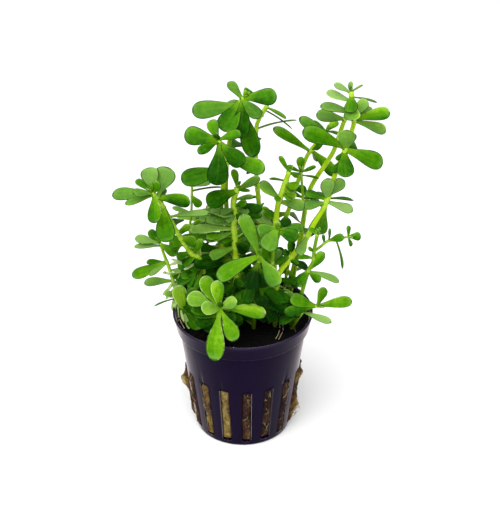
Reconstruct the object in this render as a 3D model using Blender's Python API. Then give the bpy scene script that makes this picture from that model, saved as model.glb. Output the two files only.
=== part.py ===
"""A potted bacopa: a slotted net pot with mineral wool, soil and a bunch of leafy upright shoots.

The pot stands on the origin, +Z is up and the front of the plant looks along -Y.

The shoots are laid out by eye along sight lines. A flat card stands through the middle of the pot's rim,
square to the line of sight, and a place on it is (across, up) in millimetres from the rim's middle. The
point itself lies where the sight line through that place meets the upright plane at a stated depth, which
is the distance behind the pot's axis, negative towards the front.
"""

import math
from dataclasses import dataclass, field

import bmesh
import bpy
from mathutils import Matrix, Vector
from mathutils.bvhtree import BVHTree

MM = 0.001
GAP = 0.3

# Pot, in millimetres; the slots are counted from the one just right of the front
POT_HEIGHT = 50.0
BASE_RADIUS = 18.5
BASE_THICKNESS = 1.4
WALL = 1.1
SHOULDER_HEIGHT = 45.0
SHOULDER_RADIUS = 24.0
COLLAR_FOOT_RADIUS = 26.0
RIM_RADIUS = 26.5
SLOT_COUNT = 16
SLOT_FOOT = 2.2
SLOT_HEAD = 27.2
SLOT_PHASE = 4.0
SLOT_WIDTH = 3.7
SLOT_CUT = 9.0
SEGMENTS = 32

# Filling, in millimetres; a tuft is (slot, height, size)
PLUG_LEVELS = (1.9, 12.0, 22.0, 33.0)
PLUG_SIDES = 20
PLUG_CLEARANCE = 0.5
PLUG_LUMPS = 0.25
TUFTS = ((12, 17.0, 2.7), (3, 10.0, 2.9), (4, 20.0, 2.5))
TUFT_HALF_WIDTH = 1.35
TUFT_STRETCH = 1.9
SOIL_FOOT = 33.5
SOIL_TOP = 46.9
SOIL_RADIUS = 24.4
SOIL_SHELF = (23.0, 10.0)
SOIL_SIDES = 16
PLANT_DEPTH = 5.0

# Sighting card, in millimetres
EYE = Vector((2.7, -337.7, 264.2))
CARD_CENTRE = Vector((0.0, 0.0, POT_HEIGHT))
CARD_LEAN = math.radians(30.0)

# Plant, in millimetres; arch, taper, thinning and stations are shares of a length or a width
STEM_SIDES = 4
STEM_TAPER = 0.3
TWIG_RADIUS = 0.5
ROUTE_SAMPLES = 8
LEAF_THICKNESS = 0.95
LEAF_ARCH = 0.16
LEAF_THINNING = 0.35
PIECE_STATIONS = ((0.0, 0.2), (0.34, 0.56), (0.66, 1.0), (0.9, 0.8))
SMALL_STATIONS = ((0.0, 0.24), (0.7, 1.0))
CLEARANCE = 0.12
SWING_STEP = 1.0
SWING_STEPS = 9
RETREAT_STEP = 0.5
RETREAT_STEPS = 4
RETREAT_COST = 4.0


@dataclass(frozen=True)
class Leaf:
    """A leaf: its base and tip on the card, how far its tip comes forward, its width and its facing.

    The base is moved onto the nearest point of the stem. A facing of 0 keeps the blade square to the
    stem, and 1 turns it square to the sight line. A leaf with a name is a piece of its own.
    """

    base: tuple
    tip: tuple
    forward: float
    width: float
    facing: float = 0.5
    name: str = ""


@dataclass(frozen=True)
class Shoot:
    """A shoot: its name, its foot in the soil (x, y), its stem as (across, up, depth), and its leaves."""

    name: str
    foot: tuple
    stem: tuple
    thickness: float
    leaves: tuple
    twigs: tuple = field(default=())


SHOOTS = (
    Shoot(
        "tall_left", (-4.0, 2.0),
        ((-4.0, 18.0, 2.0), (-6.1, 38.0, 2.0), (-6.2, 50.0, 2.0), (-5.5, 59.5, 2.0), (-3.6, 69.0, 1.0),
         (-1.4, 76.5, 0.0), (0.2, 79.0, 0.0)),
        1.7,
        (
            Leaf((-0.5, 79.0), (-5.6, 84.8), -2.0, 4.5),
            Leaf((-1.8, 76.5), (-19.0, 73.9), 1.0, 6.3, 0.6, "a"),
            Leaf((-1.8, 77.5), (-6.6, 76.5), -7.0, 3.5),
            Leaf((-1.0, 77.5), (-7.3, 66.4), 6.0, 7.4, 0.6, "b"),
            Leaf((-0.6, 76.5), (4.3, 56.8), 5.0, 6.8, 0.7, "c"),
            Leaf((1.0, 78.0), (12.8, 79.3), 1.0, 6.0, 0.7, "d"),
            Leaf((0.6, 78.5), (2.7, 82.0), -4.0, 3.6),
            Leaf((0.6, 77.8), (6.2, 71.2), 6.0, 5.2, 0.7),
            Leaf((-0.3, 77.6), (0.9, 72.7), 3.0, 3.2),
            Leaf((0.2, 79.0), (1.0, 81.8), 1.0, 1.6),
            Leaf((-5.3, 60.0), (-1.5, 62.5), -10.0, 5.4),
            Leaf((-6.2, 50.0), (-9.5, 53.0), -11.0, 5.4),
        ),
    ),
    Shoot(
        "back_left", (5.0, 9.0),
        ((6.0, 20.0, 10.0), (6.1, 37.0, 11.0), (5.1, 50.0, 12.0), (5.0, 66.0, 12.0), (6.1, 71.0, 12.0),
         (9.1, 76.0, 12.0)),
        1.7,
        (
            Leaf((5.9, 67.3), (20.3, 70.6), -1.0, 3.4, -0.35),
            Leaf((8.3, 74.3), (18.4, 67.3), 0.0, 2.4, -0.3),
            Leaf((8.7, 75.5), (16.2, 71.2), 2.0, 2.9, 0.2),
            Leaf((9.0, 76.0), (9.5, 79.5), -2.0, 2.0),
            Leaf((5.5, 44.5), (4.0, 47.0), 2.0, 2.4),
            Leaf((5.5, 42.0), (1.0, 41.5), 2.0, 2.2),
            Leaf((6.1, 32.0), (13.5, 34.0), -7.0, 4.6),
            Leaf((6.1, 32.0), (-1.0, 33.0), -7.0, 4.6),
            Leaf((5.1, 54.0), (3.0, 51.0), -8.0, 4.6),
            Leaf((5.0, 64.0), (4.0, 62.0), -11.0, 5.2),
            Leaf((7.0, 72.8), (4.5, 71.5), -9.0, 5.0),
        ),
    ),
    Shoot(
        "left_rosette", (-8.5, -3.0),
        ((-7.7, 22.0, -3.5), (-8.1, 35.0, -3.5), (-7.4, 46.4, -6.0), (-6.2, 54.6, -9.5), (-7.4, 59.4, -12.0),
         (-9.2, 63.2, -13.0)),
        1.6,
        (
            Leaf((-9.2, 63.0), (-21.9, 65.4), 0.0, 6.4, 0.6, "a"),
            Leaf((-9.2, 63.2), (-11.8, 70.8), -4.0, 4.1),
            Leaf((-9.0, 62.8), (-16.4, 57.9), 3.0, 4.2),
            Leaf((-8.8, 62.5), (-9.6, 46.2), 6.0, 7.4, 0.6, "b"),
            Leaf((-8.6, 62.5), (0.1, 53.8), 2.0, 5.8, 0.6, "c"),
            Leaf((-9.0, 63.0), (-0.6, 65.8), -1.0, 3.7),
            Leaf((-6.4, 56.0), (8.3, 51.8), 3.0, 5.8, 0.6, "d"),
            Leaf((-6.4, 52.4), (-23.1, 48.3), 1.0, 6.4, 0.5, "e"),
            Leaf((-9.2, 63.2), (-9.8, 65.5), 2.0, 2.6),
            Leaf((-6.3, 54.4), (-4.5, 54.5), -9.0, 5.0),
        ),
    ),
    Shoot(
        "thin_left", (-13.0, 5.0),
        ((-17.5, 12.0, 6.0), (-19.7, 27.7, 8.0), (-19.2, 37.0, 9.0), (-19.0, 46.5, 10.0)),
        1.2,
        (
            Leaf((-19.0, 42.2), (-16.0, 38.1), 3.0, 3.3),
            Leaf((-19.0, 44.0), (-6.8, 45.5), -3.0, 4.0, -0.2),
            Leaf((-19.0, 45.8), (-12.0, 47.2), 0.0, 2.6),
            Leaf((-19.0, 46.5), (-18.0, 50.0), -2.0, 2.0),
            Leaf((-19.7, 30.0), (-14.5, 32.5), -6.0, 4.2),
            Leaf((-19.7, 30.0), (-24.5, 27.5), -5.0, 4.2),
        ),
    ),
    Shoot(
        "far_left", (-12.5, -7.0),
        ((-15.2, 16.4, -9.0), (-19.7, 21.3, -10.5), (-24.6, 28.8, -12.0), (-28.7, 36.3, -13.5),
         (-30.9, 40.0, -14.0), (-33.9, 43.5, -14.5)),
        1.8,
        (
            Leaf((-33.5, 43.0), (-35.0, 53.0), -3.0, 6.2, 0.6, "a"),
            Leaf((-31.8, 41.0), (-27.9, 53.1), -3.0, 7.5, 0.6, "b"),
            Leaf((-33.7, 43.3), (-40.0, 48.3), -4.0, 2.6),
            Leaf((-33.2, 42.6), (-48.9, 42.6), 0.0, 4.8, 0.4, "c"),
            Leaf((-33.5, 43.0), (-41.0, 43.0), 5.0, 4.2),
            Leaf((-33.0, 42.5), (-44.0, 39.2), 3.0, 2.8),
            Leaf((-32.0, 41.6), (-19.7, 39.6), -1.0, 5.2, 0.5, "d"),
            Leaf((-33.0, 42.4), (-32.8, 32.1), 6.0, 5.2, 0.5, "e"),
            Leaf((-30.0, 38.5), (-27.9, 25.0), 7.0, 7.0, 0.6, "f"),
            Leaf((-27.7, 34.5), (-12.6, 35.9), 0.0, 3.0, 0.2),
            Leaf((-33.9, 43.5), (-34.4, 46.8), 1.0, 2.2),
            Leaf((-33.6, 43.2), (-31.5, 48.0), 1.0, 3.2, 0.7),
            Leaf((-30.4, 39.2), (-30.5, 44.0), -9.0, 5.2),
            Leaf((-26.0, 31.0), (-23.5, 33.5), -7.0, 4.4),
        ),
    ),
    Shoot(
        "low_left", (-20.2, -2.0),
        ((-23.8, 2.6, 1.0), (-25.6, 9.0, 4.5), (-27.9, 16.4, 7.0), (-29.4, 20.2, 8.0), (-30.9, 24.7, 8.0)),
        1.4,
        (
            Leaf((-30.7, 24.5), (-40.3, 26.4), 1.0, 3.9),
            Leaf((-30.4, 23.6), (-40.6, 23.2), 3.0, 2.8),
            Leaf((-30.9, 24.7), (-35.0, 29.5), -2.0, 3.2),
            Leaf((-30.6, 24.3), (-24.6, 20.2), 3.0, 4.5),
            Leaf((-28.6, 17.8), (-41.4, 12.3), 1.0, 4.0),
            Leaf((-28.4, 17.4), (-36.0, 17.6), -3.0, 2.6),
            Leaf((-28.2, 17.0), (-34.9, 12.4), 4.0, 3.2),
            Leaf((-26.0, 10.5), (-36.9, 9.7), 1.0, 3.2),
            Leaf((-24.4, 5.5), (-29.5, 6.0), 2.0, 2.4, 0.9),
            Leaf((-24.0, 4.4), (-33.2, 1.0), 3.0, 1.6, -0.2),
            Leaf((-20.2, 0.6), (-24.2, 9.0), 4.0, 5.4, 0.8, "a"),
        ),
    ),
    Shoot(
        "left_fill", (-12.0, 11.0),
        ((-14.5, 16.0, 15.0), (-16.0, 24.0, 17.5), (-17.0, 33.0, 20.0)),
        1.5,
        (
            Leaf((-17.0, 33.0), (-24.5, 35.5), -3.0, 4.6),
            Leaf((-17.0, 33.0), (-10.5, 35.0), -4.0, 4.6),
            Leaf((-17.0, 33.0), (-17.5, 30.0), -10.0, 4.6),
            Leaf((-15.5, 20.0), (-24.5, 17.0), 2.0, 4.8),
            Leaf((-15.5, 20.0), (-6.0, 19.0), -2.0, 5.4),
            Leaf((-15.0, 18.0), (-17.5, 8.0), 8.0, 5.4),
            Leaf((-15.3, 19.0), (-15.0, 18.0), -12.0, 5.0),
            Leaf((-17.0, 33.0), (-17.2, 36.5), 0.0, 2.0),
        ),
    ),
    Shoot(
        "front", (-8.0, -13.0),
        ((-8.4, -3.5, -16.0), (-8.5, 0.6, -18.0)),
        1.8,
        (
            Leaf((-8.5, 0.4), (-10.7, -19.4), 13.0, 6.7, 0.6, "a"),
            Leaf((-8.5, 0.4), (-2.9, -12.0), 9.0, 5.6, 0.6, "b"),
            Leaf((-8.5, 0.4), (8.7, -1.9), 0.0, 5.8, 0.6, "c"),
            Leaf((-8.5, 0.6), (-2.1, 2.8), 2.0, 4.8),
            Leaf((-8.5, 0.4), (-15.6, 0.4), 7.0, 4.9),
            Leaf((-8.5, 0.6), (-20.8, 4.5), -1.0, 5.9, 0.6, "d"),
            Leaf((-8.5, 0.6), (-14.8, 12.3), -4.0, 5.8, 0.7, "e"),
            Leaf((-8.5, 0.6), (-9.4, 10.8), -1.0, 5.0, 0.7, "f"),
            Leaf((-8.4, -3.0), (-20.0, 6.5), -4.0, 4.6),
            Leaf((-8.4, -3.4), (-12.0, -7.5), 4.0, 5.0),
            Leaf((-8.5, 0.6), (-8.3, 2.6), 2.0, 2.2),
        ),
    ),
    Shoot(
        "centre", (-1.5, -4.0),
        ((-2.5, 17.6, -5.0), (-3.3, 31.4, -5.0), (-2.6, 36.0, -5.0), (-3.5, 39.6, -5.0), (-2.1, 45.2, -5.0)),
        1.8,
        (
            Leaf((-2.1, 45.2), (-3.6, 52.3), -3.0, 2.8),
            Leaf((-2.2, 44.8), (6.5, 49.0), -1.0, 3.6),
            Leaf((-2.2, 44.8), (2.6, 44.0), 3.0, 2.0),
            Leaf((-2.4, 44.0), (-13.3, 38.9), 3.0, 6.6, 0.5, "a"),
            Leaf((-3.2, 29.9), (-19.7, 29.2), 2.0, 4.2),
            Leaf((-2.8, 35.0), (-13.3, 35.9), -1.0, 3.4, -0.2),
            Leaf((-2.7, 35.5), (-6.6, 36.2), 2.0, 1.8),
            Leaf((-2.8, 23.0), (-12.6, 19.1), 3.0, 4.2),
            Leaf((-2.9, 25.0), (-8.9, 24.9), 2.0, 2.0),
            Leaf((-3.4, 39.0), (7.2, 37.0), 1.0, 3.4),
            Leaf((-2.0, 10.0), (5.0, 2.0), 4.0, 4.4),
            Leaf((-2.0, 10.0), (-9.0, 7.0), 2.0, 4.6),
        ),
    ),
    Shoot(
        "centre_front", (4.0, -9.0),
        ((5.0, 7.0, -11.0), (5.7, 14.6, -13.0), (6.1, 20.2, -14.5)),
        1.7,
        (
            Leaf((6.1, 20.2), (-0.5, 35.4), -3.0, 5.6, 0.7, "a"),
            Leaf((6.1, 20.0), (13.0, 8.4), 6.0, 5.8, 0.6, "b"),
            Leaf((6.0, 19.8), (-9.6, 11.2), 4.0, 6.2, 0.6, "c"),
            Leaf((5.7, 15.0), (9.5, 11.5), 3.0, 2.6),
            Leaf((5.4, 10.0), (15.0, 2.0), 3.0, 4.4),
            Leaf((6.1, 20.2), (6.6, 22.4), 1.0, 2.0),
        ),
    ),
    Shoot(
        "round_leaf", (10.0, -5.0),
        ((10.2, 8.0, -7.0), (11.0, 17.6, -9.5), (12.0, 25.8, -12.0), (12.8, 29.9, -13.0)),
        1.6,
        (
            Leaf((12.8, 29.9), (5.4, 28.8), 2.0, 5.6, 0.8, "a"),
            Leaf((12.8, 29.8), (8.3, 22.1), 5.0, 6.6, 0.8, "b"),
            Leaf((12.7, 29.2), (20.7, 26.5), 2.0, 5.0, 0.6),
            Leaf((12.8, 29.8), (22.9, 30.3), -2.0, 3.6),
            Leaf((12.8, 29.9), (17.7, 33.6), -3.0, 3.6),
            Leaf((12.8, 29.9), (12.8, 32.6), 0.0, 1.8),
            Leaf((10.4, 9.5), (3.5, 6.5), -1.0, 4.4),
        ),
    ),
    Shoot(
        "mid_right", (11.5, -1.0),
        ((11.7, 18.3, -1.0), (12.4, 32.5, -1.0), (13.2, 38.9, -1.0), (14.7, 43.7, -1.0), (17.3, 51.2, -1.0)),
        1.8,
        (
            Leaf((15.8, 47.0), (20.7, 45.2), 3.0, 4.6),
            Leaf((16.0, 47.8), (9.8, 48.6), 0.0, 3.0, -0.1),
            Leaf((17.3, 51.2), (13.6, 57.2), -2.0, 2.4),
            Leaf((17.2, 51.0), (20.6, 49.2), 2.0, 2.4),
            Leaf((14.0, 41.3), (6.1, 47.1), 1.0, 4.6),
            Leaf((13.6, 40.0), (23.3, 38.1), 2.0, 4.8),
            Leaf((15.0, 44.6), (19.9, 41.9), 3.0, 2.4),
            Leaf((12.5, 33.0), (8.0, 36.5), -3.0, 3.0),
            Leaf((17.3, 51.2), (18.0, 54.0), -1.0, 1.8),
        ),
    ),
    Shoot(
        "thin_right", (17.0, 4.0),
        ((20.2, 17.6, 4.0), (22.4, 27.7, 5.0), (22.9, 35.1, 5.0), (22.5, 41.9, 5.0), (21.8, 51.2, 5.0)),
        1.3,
        (
            Leaf((21.8, 51.2), (21.8, 57.0), -1.0, 3.0),
            Leaf((21.8, 51.2), (27.4, 53.3), 0.0, 2.2),
            Leaf((21.8, 51.0), (16.6, 53.5), 0.0, 2.0),
            Leaf((21.8, 50.8), (17.7, 50.4), 3.0, 2.0),
            Leaf((21.9, 50.0), (28.5, 48.8), 1.0, 1.8, 0.1),
            Leaf((22.5, 41.5), (28.4, 42.2), 1.0, 2.8),
            Leaf((22.5, 41.5), (17.8, 43.4), 1.0, 2.4),
        ),
    ),
    Shoot(
        "tall_right", (12.0, -7.5),
        ((13.0, 11.0, -7.5), (17.3, 18.3, -7.5), (23.3, 25.8, -7.5), (27.0, 32.5, -7.5), (31.1, 39.6, -7.0),
         (34.1, 49.0, -7.0), (38.2, 59.4, -6.0), (40.9, 67.0, -6.0), (41.6, 71.4, -6.0), (40.5, 81.2, -6.0)),
        1.9,
        (
            Leaf((38.0, 60.2), (22.2, 66.5), 2.0, 6.2, 0.6, "a"),
            Leaf((38.2, 60.4), (38.9, 67.1), 5.0, 6.6, 0.8, "b"),
            Leaf((38.4, 59.6), (52.3, 53.9), 1.0, 6.4, 0.7, "c"),
            Leaf((38.0, 59.0), (38.6, 49.2), 5.0, 5.9, 0.7, "d"),
            Leaf((36.8, 55.5), (33.6, 51.0), 2.0, 2.6),
            Leaf((37.8, 59.0), (34.9, 55.7), 1.0, 1.8),
            Leaf((31.2, 40.2), (41.2, 36.6), 2.0, 4.2),
            Leaf((31.6, 41.5), (41.4, 40.6), -3.0, 3.4, -0.2),
            Leaf((30.6, 38.6), (27.4, 28.0), -3.0, 7.0, 0.6, "e"),
            Leaf((31.0, 39.4), (22.9, 38.5), 1.0, 3.8),
            Leaf((31.6, 41.5), (31.9, 49.0), 3.0, 5.2, 0.7, "f"),
            Leaf((31.9, 42.5), (38.0, 48.2), 1.0, 4.4, 0.7),
            Leaf((31.4, 41.0), (23.3, 43.4), -2.0, 3.2),
            Leaf((31.8, 42.2), (30.6, 46.0), 4.0, 2.2),
            Leaf((24.5, 27.6), (20.7, 20.2), 5.0, 3.6),
            Leaf((18.2, 19.5), (11.3, 17.6), 1.0, 3.2),
            Leaf((17.6, 18.6), (20.6, 16.6), 3.0, 2.4),
            Leaf((40.6, 80.8), (34.1, 84.1), 1.0, 2.4),
            Leaf((40.5, 81.2), (45.0, 83.8), -1.0, 1.4, 0.2),
            Leaf((40.8, 77.6), (31.2, 81.0), 1.0, 3.3),
            Leaf((40.8, 79.0), (50.2, 77.2), 0.0, 1.4, 0.1),
            Leaf((40.7, 79.6), (40.3, 73.4), 4.0, 4.6, 0.8),
            Leaf((41.4, 73.0), (28.9, 75.9), -1.0, 4.0),
            Leaf((41.5, 72.5), (46.4, 78.2), 1.0, 4.0, 0.8),
            Leaf((41.2, 76.0), (40.9, 70.4), 5.0, 5.6, 0.8),
            Leaf((41.6, 72.6), (48.3, 75.2), -3.0, 2.6),
            Leaf((41.6, 71.2), (55.1, 73.6), -1.0, 4.8, 0.6, "g"),
            Leaf((41.5, 70.6), (53.6, 66.5), 2.0, 4.0, 0.6),
            Leaf((40.5, 81.2), (40.4, 85.2), 0.0, 1.6),
            Leaf((38.2, 59.4), (36.5, 62.5), -11.0, 5.4),
            Leaf((31.2, 40.2), (30.0, 43.5), -10.0, 5.4),
            Leaf((23.3, 26.0), (25.5, 29.5), -9.0, 4.6),
            Leaf((41.6, 71.6), (43.5, 73.2), -9.0, 4.4),
        ),
    ),
    Shoot(
        "pale_back", (14.5, 8.0),
        ((17.7, 10.0, 9.0), (21.4, 25.8, 10.0), (23.5, 38.0, 9.5), (25.7, 46.0, 8.0), (31.5, 55.0, 5.0),
         (34.1, 59.4, 4.0), (36.7, 66.9, 2.0), (38.4, 71.5, 1.0)),
        1.6,
        (
            Leaf((35.0, 62.0), (21.0, 71.4), -1.0, 5.0, 0.5, "a"),
            Leaf((38.2, 71.0), (27.4, 72.5), 2.0, 4.6),
            Leaf((38.4, 71.5), (42.0, 76.0), -5.0, 3.2),
            Leaf((35.0, 62.0), (42.5, 61.0), -6.0, 4.6),
            Leaf((24.5, 42.0), (29.5, 38.5), -8.0, 4.8),
            Leaf((24.5, 42.0), (20.0, 46.0), -7.0, 4.4),
        ),
    ),
    Shoot(
        "far_back", (7.0, 14.0),
        ((12.0, 24.0, 17.0), (17.5, 38.0, 18.0), (22.9, 54.6, 19.0), (25.9, 59.8, 19.0), (31.1, 66.5, 19.0)),
        1.6,
        (
            Leaf((25.3, 59.0), (11.3, 67.7), 0.0, 4.2),
            Leaf((25.9, 59.8), (29.9, 61.4), 3.0, 4.2),
            Leaf((25.7, 59.4), (34.5, 50.1), 2.0, 5.0, 0.6),
            Leaf((31.1, 66.5), (35.4, 70.6), -2.0, 3.2),
            Leaf((31.1, 66.5), (26.3, 70.5), -2.0, 2.4, 0.1),
            Leaf((31.1, 66.3), (36.4, 65.2), -1.0, 2.2, 0.1),
            Leaf((25.9, 59.8), (26.5, 56.0), -9.0, 4.6),
            Leaf((16.5, 36.0), (8.5, 33.0), -4.0, 5.0),
            Leaf((16.5, 36.0), (21.0, 33.0), -8.0, 5.0),
            Leaf((12.0, 24.0), (13.0, 20.0), -10.0, 5.0),
        ),
    ),
    Shoot(
        "back_fill", (-2.0, 14.0),
        ((-2.0, 14.0, 18.0), (0.0, 24.0, 21.0), (3.0, 35.0, 23.0)),
        1.6,
        (
            Leaf((3.0, 35.0), (-4.0, 37.5), -3.0, 4.8),
            Leaf((3.0, 35.0), (10.5, 36.5), -4.0, 4.8),
            Leaf((3.0, 35.0), (3.5, 31.5), -10.0, 5.0),
            Leaf((-0.5, 22.0), (-10.5, 23.5), -3.0, 5.2),
            Leaf((-0.5, 22.0), (9.5, 24.5), -3.0, 5.2),
            Leaf((-1.5, 17.0), (-3.0, 11.0), -11.0, 5.2),
            Leaf((3.0, 35.0), (3.4, 38.5), -1.0, 2.2),
        ),
    ),
    Shoot(
        "right", (17.5, -7.0),
        ((20.7, 1.5, -10.0), (24.4, 13.8, -13.0), (26.3, 17.6, -13.5), (26.7, 22.0, -14.0),
         (27.9, 27.9, -15.0)),
        1.7,
        (
            Leaf((26.7, 21.4), (24.4, 22.8), 1.0, 1.8),
            Leaf((24.8, 14.6), (30.4, 21.3), 1.0, 3.6),
            Leaf((24.6, 14.2), (28.9, 10.1), 3.0, 3.2),
            Leaf((24.6, 14.2), (36.0, 10.1), 1.0, 3.0),
            Leaf((24.6, 14.4), (20.7, 9.3), 2.0, 3.8),
            Leaf((26.4, 19.0), (20.3, 19.4), -1.0, 2.4),
            Leaf((27.9, 27.9), (24.6, 30.0), -2.0, 2.4),
            Leaf((32.3, 25.6), (37.9, 26.9), 1.0, 3.0),
            Leaf((32.3, 25.6), (32.3, 30.1), 1.0, 1.8),
            Leaf((30.6, 24.4), (29.8, 27.8), 0.0, 1.6),
            Leaf((34.5, 25.8), (37.3, 15.0), 2.0, 2.0, 0.3),
            Leaf((39.4, 27.0), (39.4, 31.2), -1.0, 2.0),
            Leaf((39.4, 27.0), (44.2, 27.1), 0.0, 3.0),
            Leaf((39.4, 27.0), (40.6, 23.4), 1.0, 2.0),
        ),
        (((26.7, 21.6, -14.0), (28.9, 23.2, -14.5), (32.3, 25.6, -15.0), (39.4, 27.0, -15.0)),),
    ),
    Shoot(
        "dark", (14.5, 0.5),
        ((16.0, 11.0, 1.0), (17.7, 19.1, 1.5)),
        1.3,
        (
            Leaf((17.7, 19.1), (18.4, 25.8), -1.0, 3.0),
            Leaf((17.7, 19.1), (15.0, 21.9), 1.0, 2.6),
            Leaf((17.6, 18.6), (13.0, 23.0), -3.0, 2.6),
            Leaf((17.5, 18.0), (24.5, 15.0), -3.0, 4.2),
            Leaf((16.6, 14.0), (12.0, 12.0), -5.0, 4.2),
        ),
    ),
    Shoot(
        "low_right", (18.0, -9.5),
        ((22.0, -1.5, -11.5), (24.8, 0.8, -12.5), (27.8, 1.1, -13.5)),
        1.4,
        (
            Leaf((27.8, 1.1), (30.4, 8.2), -3.0, 3.8),
            Leaf((27.8, 1.1), (40.9, 3.0), -1.0, 4.2, 0.6, "a"),
            Leaf((27.4, 1.1), (17.7, 4.5), 0.0, 5.0),
            Leaf((27.4, 1.1), (15.4, -1.5), 2.0, 4.0),
            Leaf((22.6, -1.0), (33.2, -4.9), 3.5, 2.8, 0.6),
        ),
    ),
)


@dataclass(frozen=True)
class Finish:
    """A material's colour as sRGB bytes, its roughness and its metallic value."""

    name: str
    colour: tuple
    roughness: float
    metallic: float = 0.0

    def make(self):
        """Return the Principled material."""
        material = bpy.data.materials.new(self.name)
        material.use_nodes = True
        shader = material.node_tree.nodes["Principled BSDF"]
        linear = [((byte / 255.0 + 0.055) / 1.055) ** 2.4 for byte in self.colour]
        shader.inputs["Base Color"].default_value = (*linear, 1.0)
        shader.inputs["Roughness"].default_value = self.roughness
        shader.inputs["Metallic"].default_value = self.metallic
        material.diffuse_color = (*linear, 1.0)
        return material


POT_FINISH = Finish("pot_plastic", (38, 26, 52), 0.4)
WOOL_FINISH = Finish("mineral_wool", (150, 122, 52), 0.95)
SOIL_FINISH = Finish("soil", (20, 18, 16), 0.95)
STEM_FINISH = Finish("stem", (140, 185, 50), 0.5)
LEAF_FINISH = Finish("leaf", (80, 145, 25), 0.42)


def clear_scene():
    """Remove every object that the file holds."""
    for thing in list(bpy.data.objects):
        bpy.data.objects.remove(thing, do_unlink=True)


def finished_object(name, work, material, smooth_angle=math.radians(40.0)):
    """Turn a bmesh measured in millimetres into a named object in metres, its faces outwards."""
    bmesh.ops.recalc_face_normals(work, faces=work.faces)
    bmesh.ops.scale(work, vec=(MM, MM, MM), verts=work.verts)
    mesh = bpy.data.meshes.new(name)
    work.to_mesh(mesh)
    work.free()
    mesh.materials.append(material)
    mesh.shade_smooth()
    mesh.set_sharp_from_angle(angle=smooth_angle)
    thing = bpy.data.objects.new(name, mesh)
    bpy.context.scene.collection.objects.link(thing)
    return thing


def apply_boolean(thing, others, operation):
    """Cut the others from an object, or join them to it, and take the others away."""
    group = bpy.data.collections.new(thing.name + "_tools")
    bpy.context.scene.collection.children.link(group)
    for other in others:
        bpy.context.scene.collection.objects.unlink(other)
        group.objects.link(other)
    change = thing.modifiers.new("change", "BOOLEAN")
    change.operation = operation
    change.solver = "EXACT"
    change.operand_type = "COLLECTION"
    change.collection = group
    bpy.context.view_layer.update()
    graph = bpy.context.evaluated_depsgraph_get()
    mesh = bpy.data.meshes.new_from_object(thing.evaluated_get(graph))
    thing.modifiers.clear()
    thing.data = mesh
    for other in others:
        bpy.data.objects.remove(other, do_unlink=True)
    bpy.data.collections.remove(group)


def wall_radius(height):
    """Return the pot wall's outer radius at a height, on its straight taper."""
    return BASE_RADIUS + (SHOULDER_RADIUS - BASE_RADIUS) * height / SHOULDER_HEIGHT


def slot_angles():
    """Return the direction of each slot's middle, the first one just right of the front."""
    first = math.radians(SLOT_PHASE - 90.0)
    return [first + 2.0 * math.pi * slot / SLOT_COUNT for slot in range(SLOT_COUNT)]


def turned(profile, segments):
    """Spin a closed profile of (radius, height) points about the Z axis into a ring."""
    work = bmesh.new()
    turn = Matrix.Rotation(math.radians(SLOT_PHASE - 90.0), 3, "Z")
    corners = [work.verts.new(turn @ Vector((radius, 0.0, height))) for radius, height in profile]
    edges = [work.edges.new((a, b)) for a, b in zip(corners, corners[1:])]
    bmesh.ops.spin(work, geom=corners + edges, cent=(0, 0, 0), axis=(0, 0, 1), angle=2.0 * math.pi,
                   steps=segments, use_merge=True, use_duplicate=False)
    bmesh.ops.remove_doubles(work, verts=work.verts, dist=0.001)
    return work


def build_pot():
    """Build the pot: a turned shell with a solid base and a ring of slots cut through its wall."""
    inner_foot = wall_radius(BASE_THICKNESS) - WALL
    profile = (
        (0.0, 0.0),
        (BASE_RADIUS, 0.0),
        (wall_radius(SHOULDER_HEIGHT), SHOULDER_HEIGHT),
        (COLLAR_FOOT_RADIUS, SHOULDER_HEIGHT + 0.4),
        (RIM_RADIUS, POT_HEIGHT - 0.3),
        (RIM_RADIUS - 0.3, POT_HEIGHT),
        (RIM_RADIUS - WALL, POT_HEIGHT),
        (COLLAR_FOOT_RADIUS - WALL, SHOULDER_HEIGHT + 1.4),
        (wall_radius(SHOULDER_HEIGHT) - WALL, SHOULDER_HEIGHT + 1.0),
        (inner_foot, BASE_THICKNESS),
        (0.0, BASE_THICKNESS),
    )
    pot = finished_object("pot", turned(profile, SEGMENTS), POT_FINISH.make())
    cutters = []
    for index, angle in enumerate(slot_angles()):
        work = bmesh.new()
        height = (SLOT_FOOT + SLOT_HEAD) / 2.0
        middle = Vector((math.cos(angle), math.sin(angle), 0.0)) * wall_radius(height)
        middle.z = height
        place = Matrix.Translation(middle) @ Matrix.Rotation(angle, 4, "Z")
        size = Matrix.Diagonal((SLOT_CUT, SLOT_WIDTH, SLOT_HEAD - SLOT_FOOT, 1.0))
        bmesh.ops.create_cube(work, size=1.0, matrix=place @ size)
        cutters.append(finished_object("slot_cutter_%d" % index, work, POT_FINISH.make()))
    apply_boolean(pot, cutters, "DIFFERENCE")
    return pot


def lumps(direction, height):
    """Return a gentle swell that depends on the direction and the height, for loose material."""
    wave = math.sin(5.0 * direction + 0.31 * height)
    wave += 0.6 * math.sin(9.0 * direction - 0.47 * height + 1.3)
    wave += 0.5 * math.sin(2.0 * direction + 0.8 * height + 2.1)
    return PLUG_LUMPS * wave


def directions(count):
    """Return directions spread evenly round the Z axis."""
    return [2.0 * math.pi * step / count for step in range(count)]


def skinned(rings):
    """Join rings of points, each with the same count, into a closed bmesh with flat ends."""
    work = bmesh.new()
    layers = [[work.verts.new(point) for point in ring] for ring in rings]
    for lower, upper in zip(layers, layers[1:]):
        for step in range(len(lower)):
            after = (step + 1) % len(lower)
            work.faces.new((lower[step], lower[after], upper[after], upper[step]))
    work.faces.new(layers[-1])
    work.faces.new(reversed(layers[0]))
    return work


def ring_point(radius, direction, height):
    """Return the point at a radius, a direction and a height."""
    return Vector((radius * math.cos(direction), radius * math.sin(direction), height))


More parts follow.
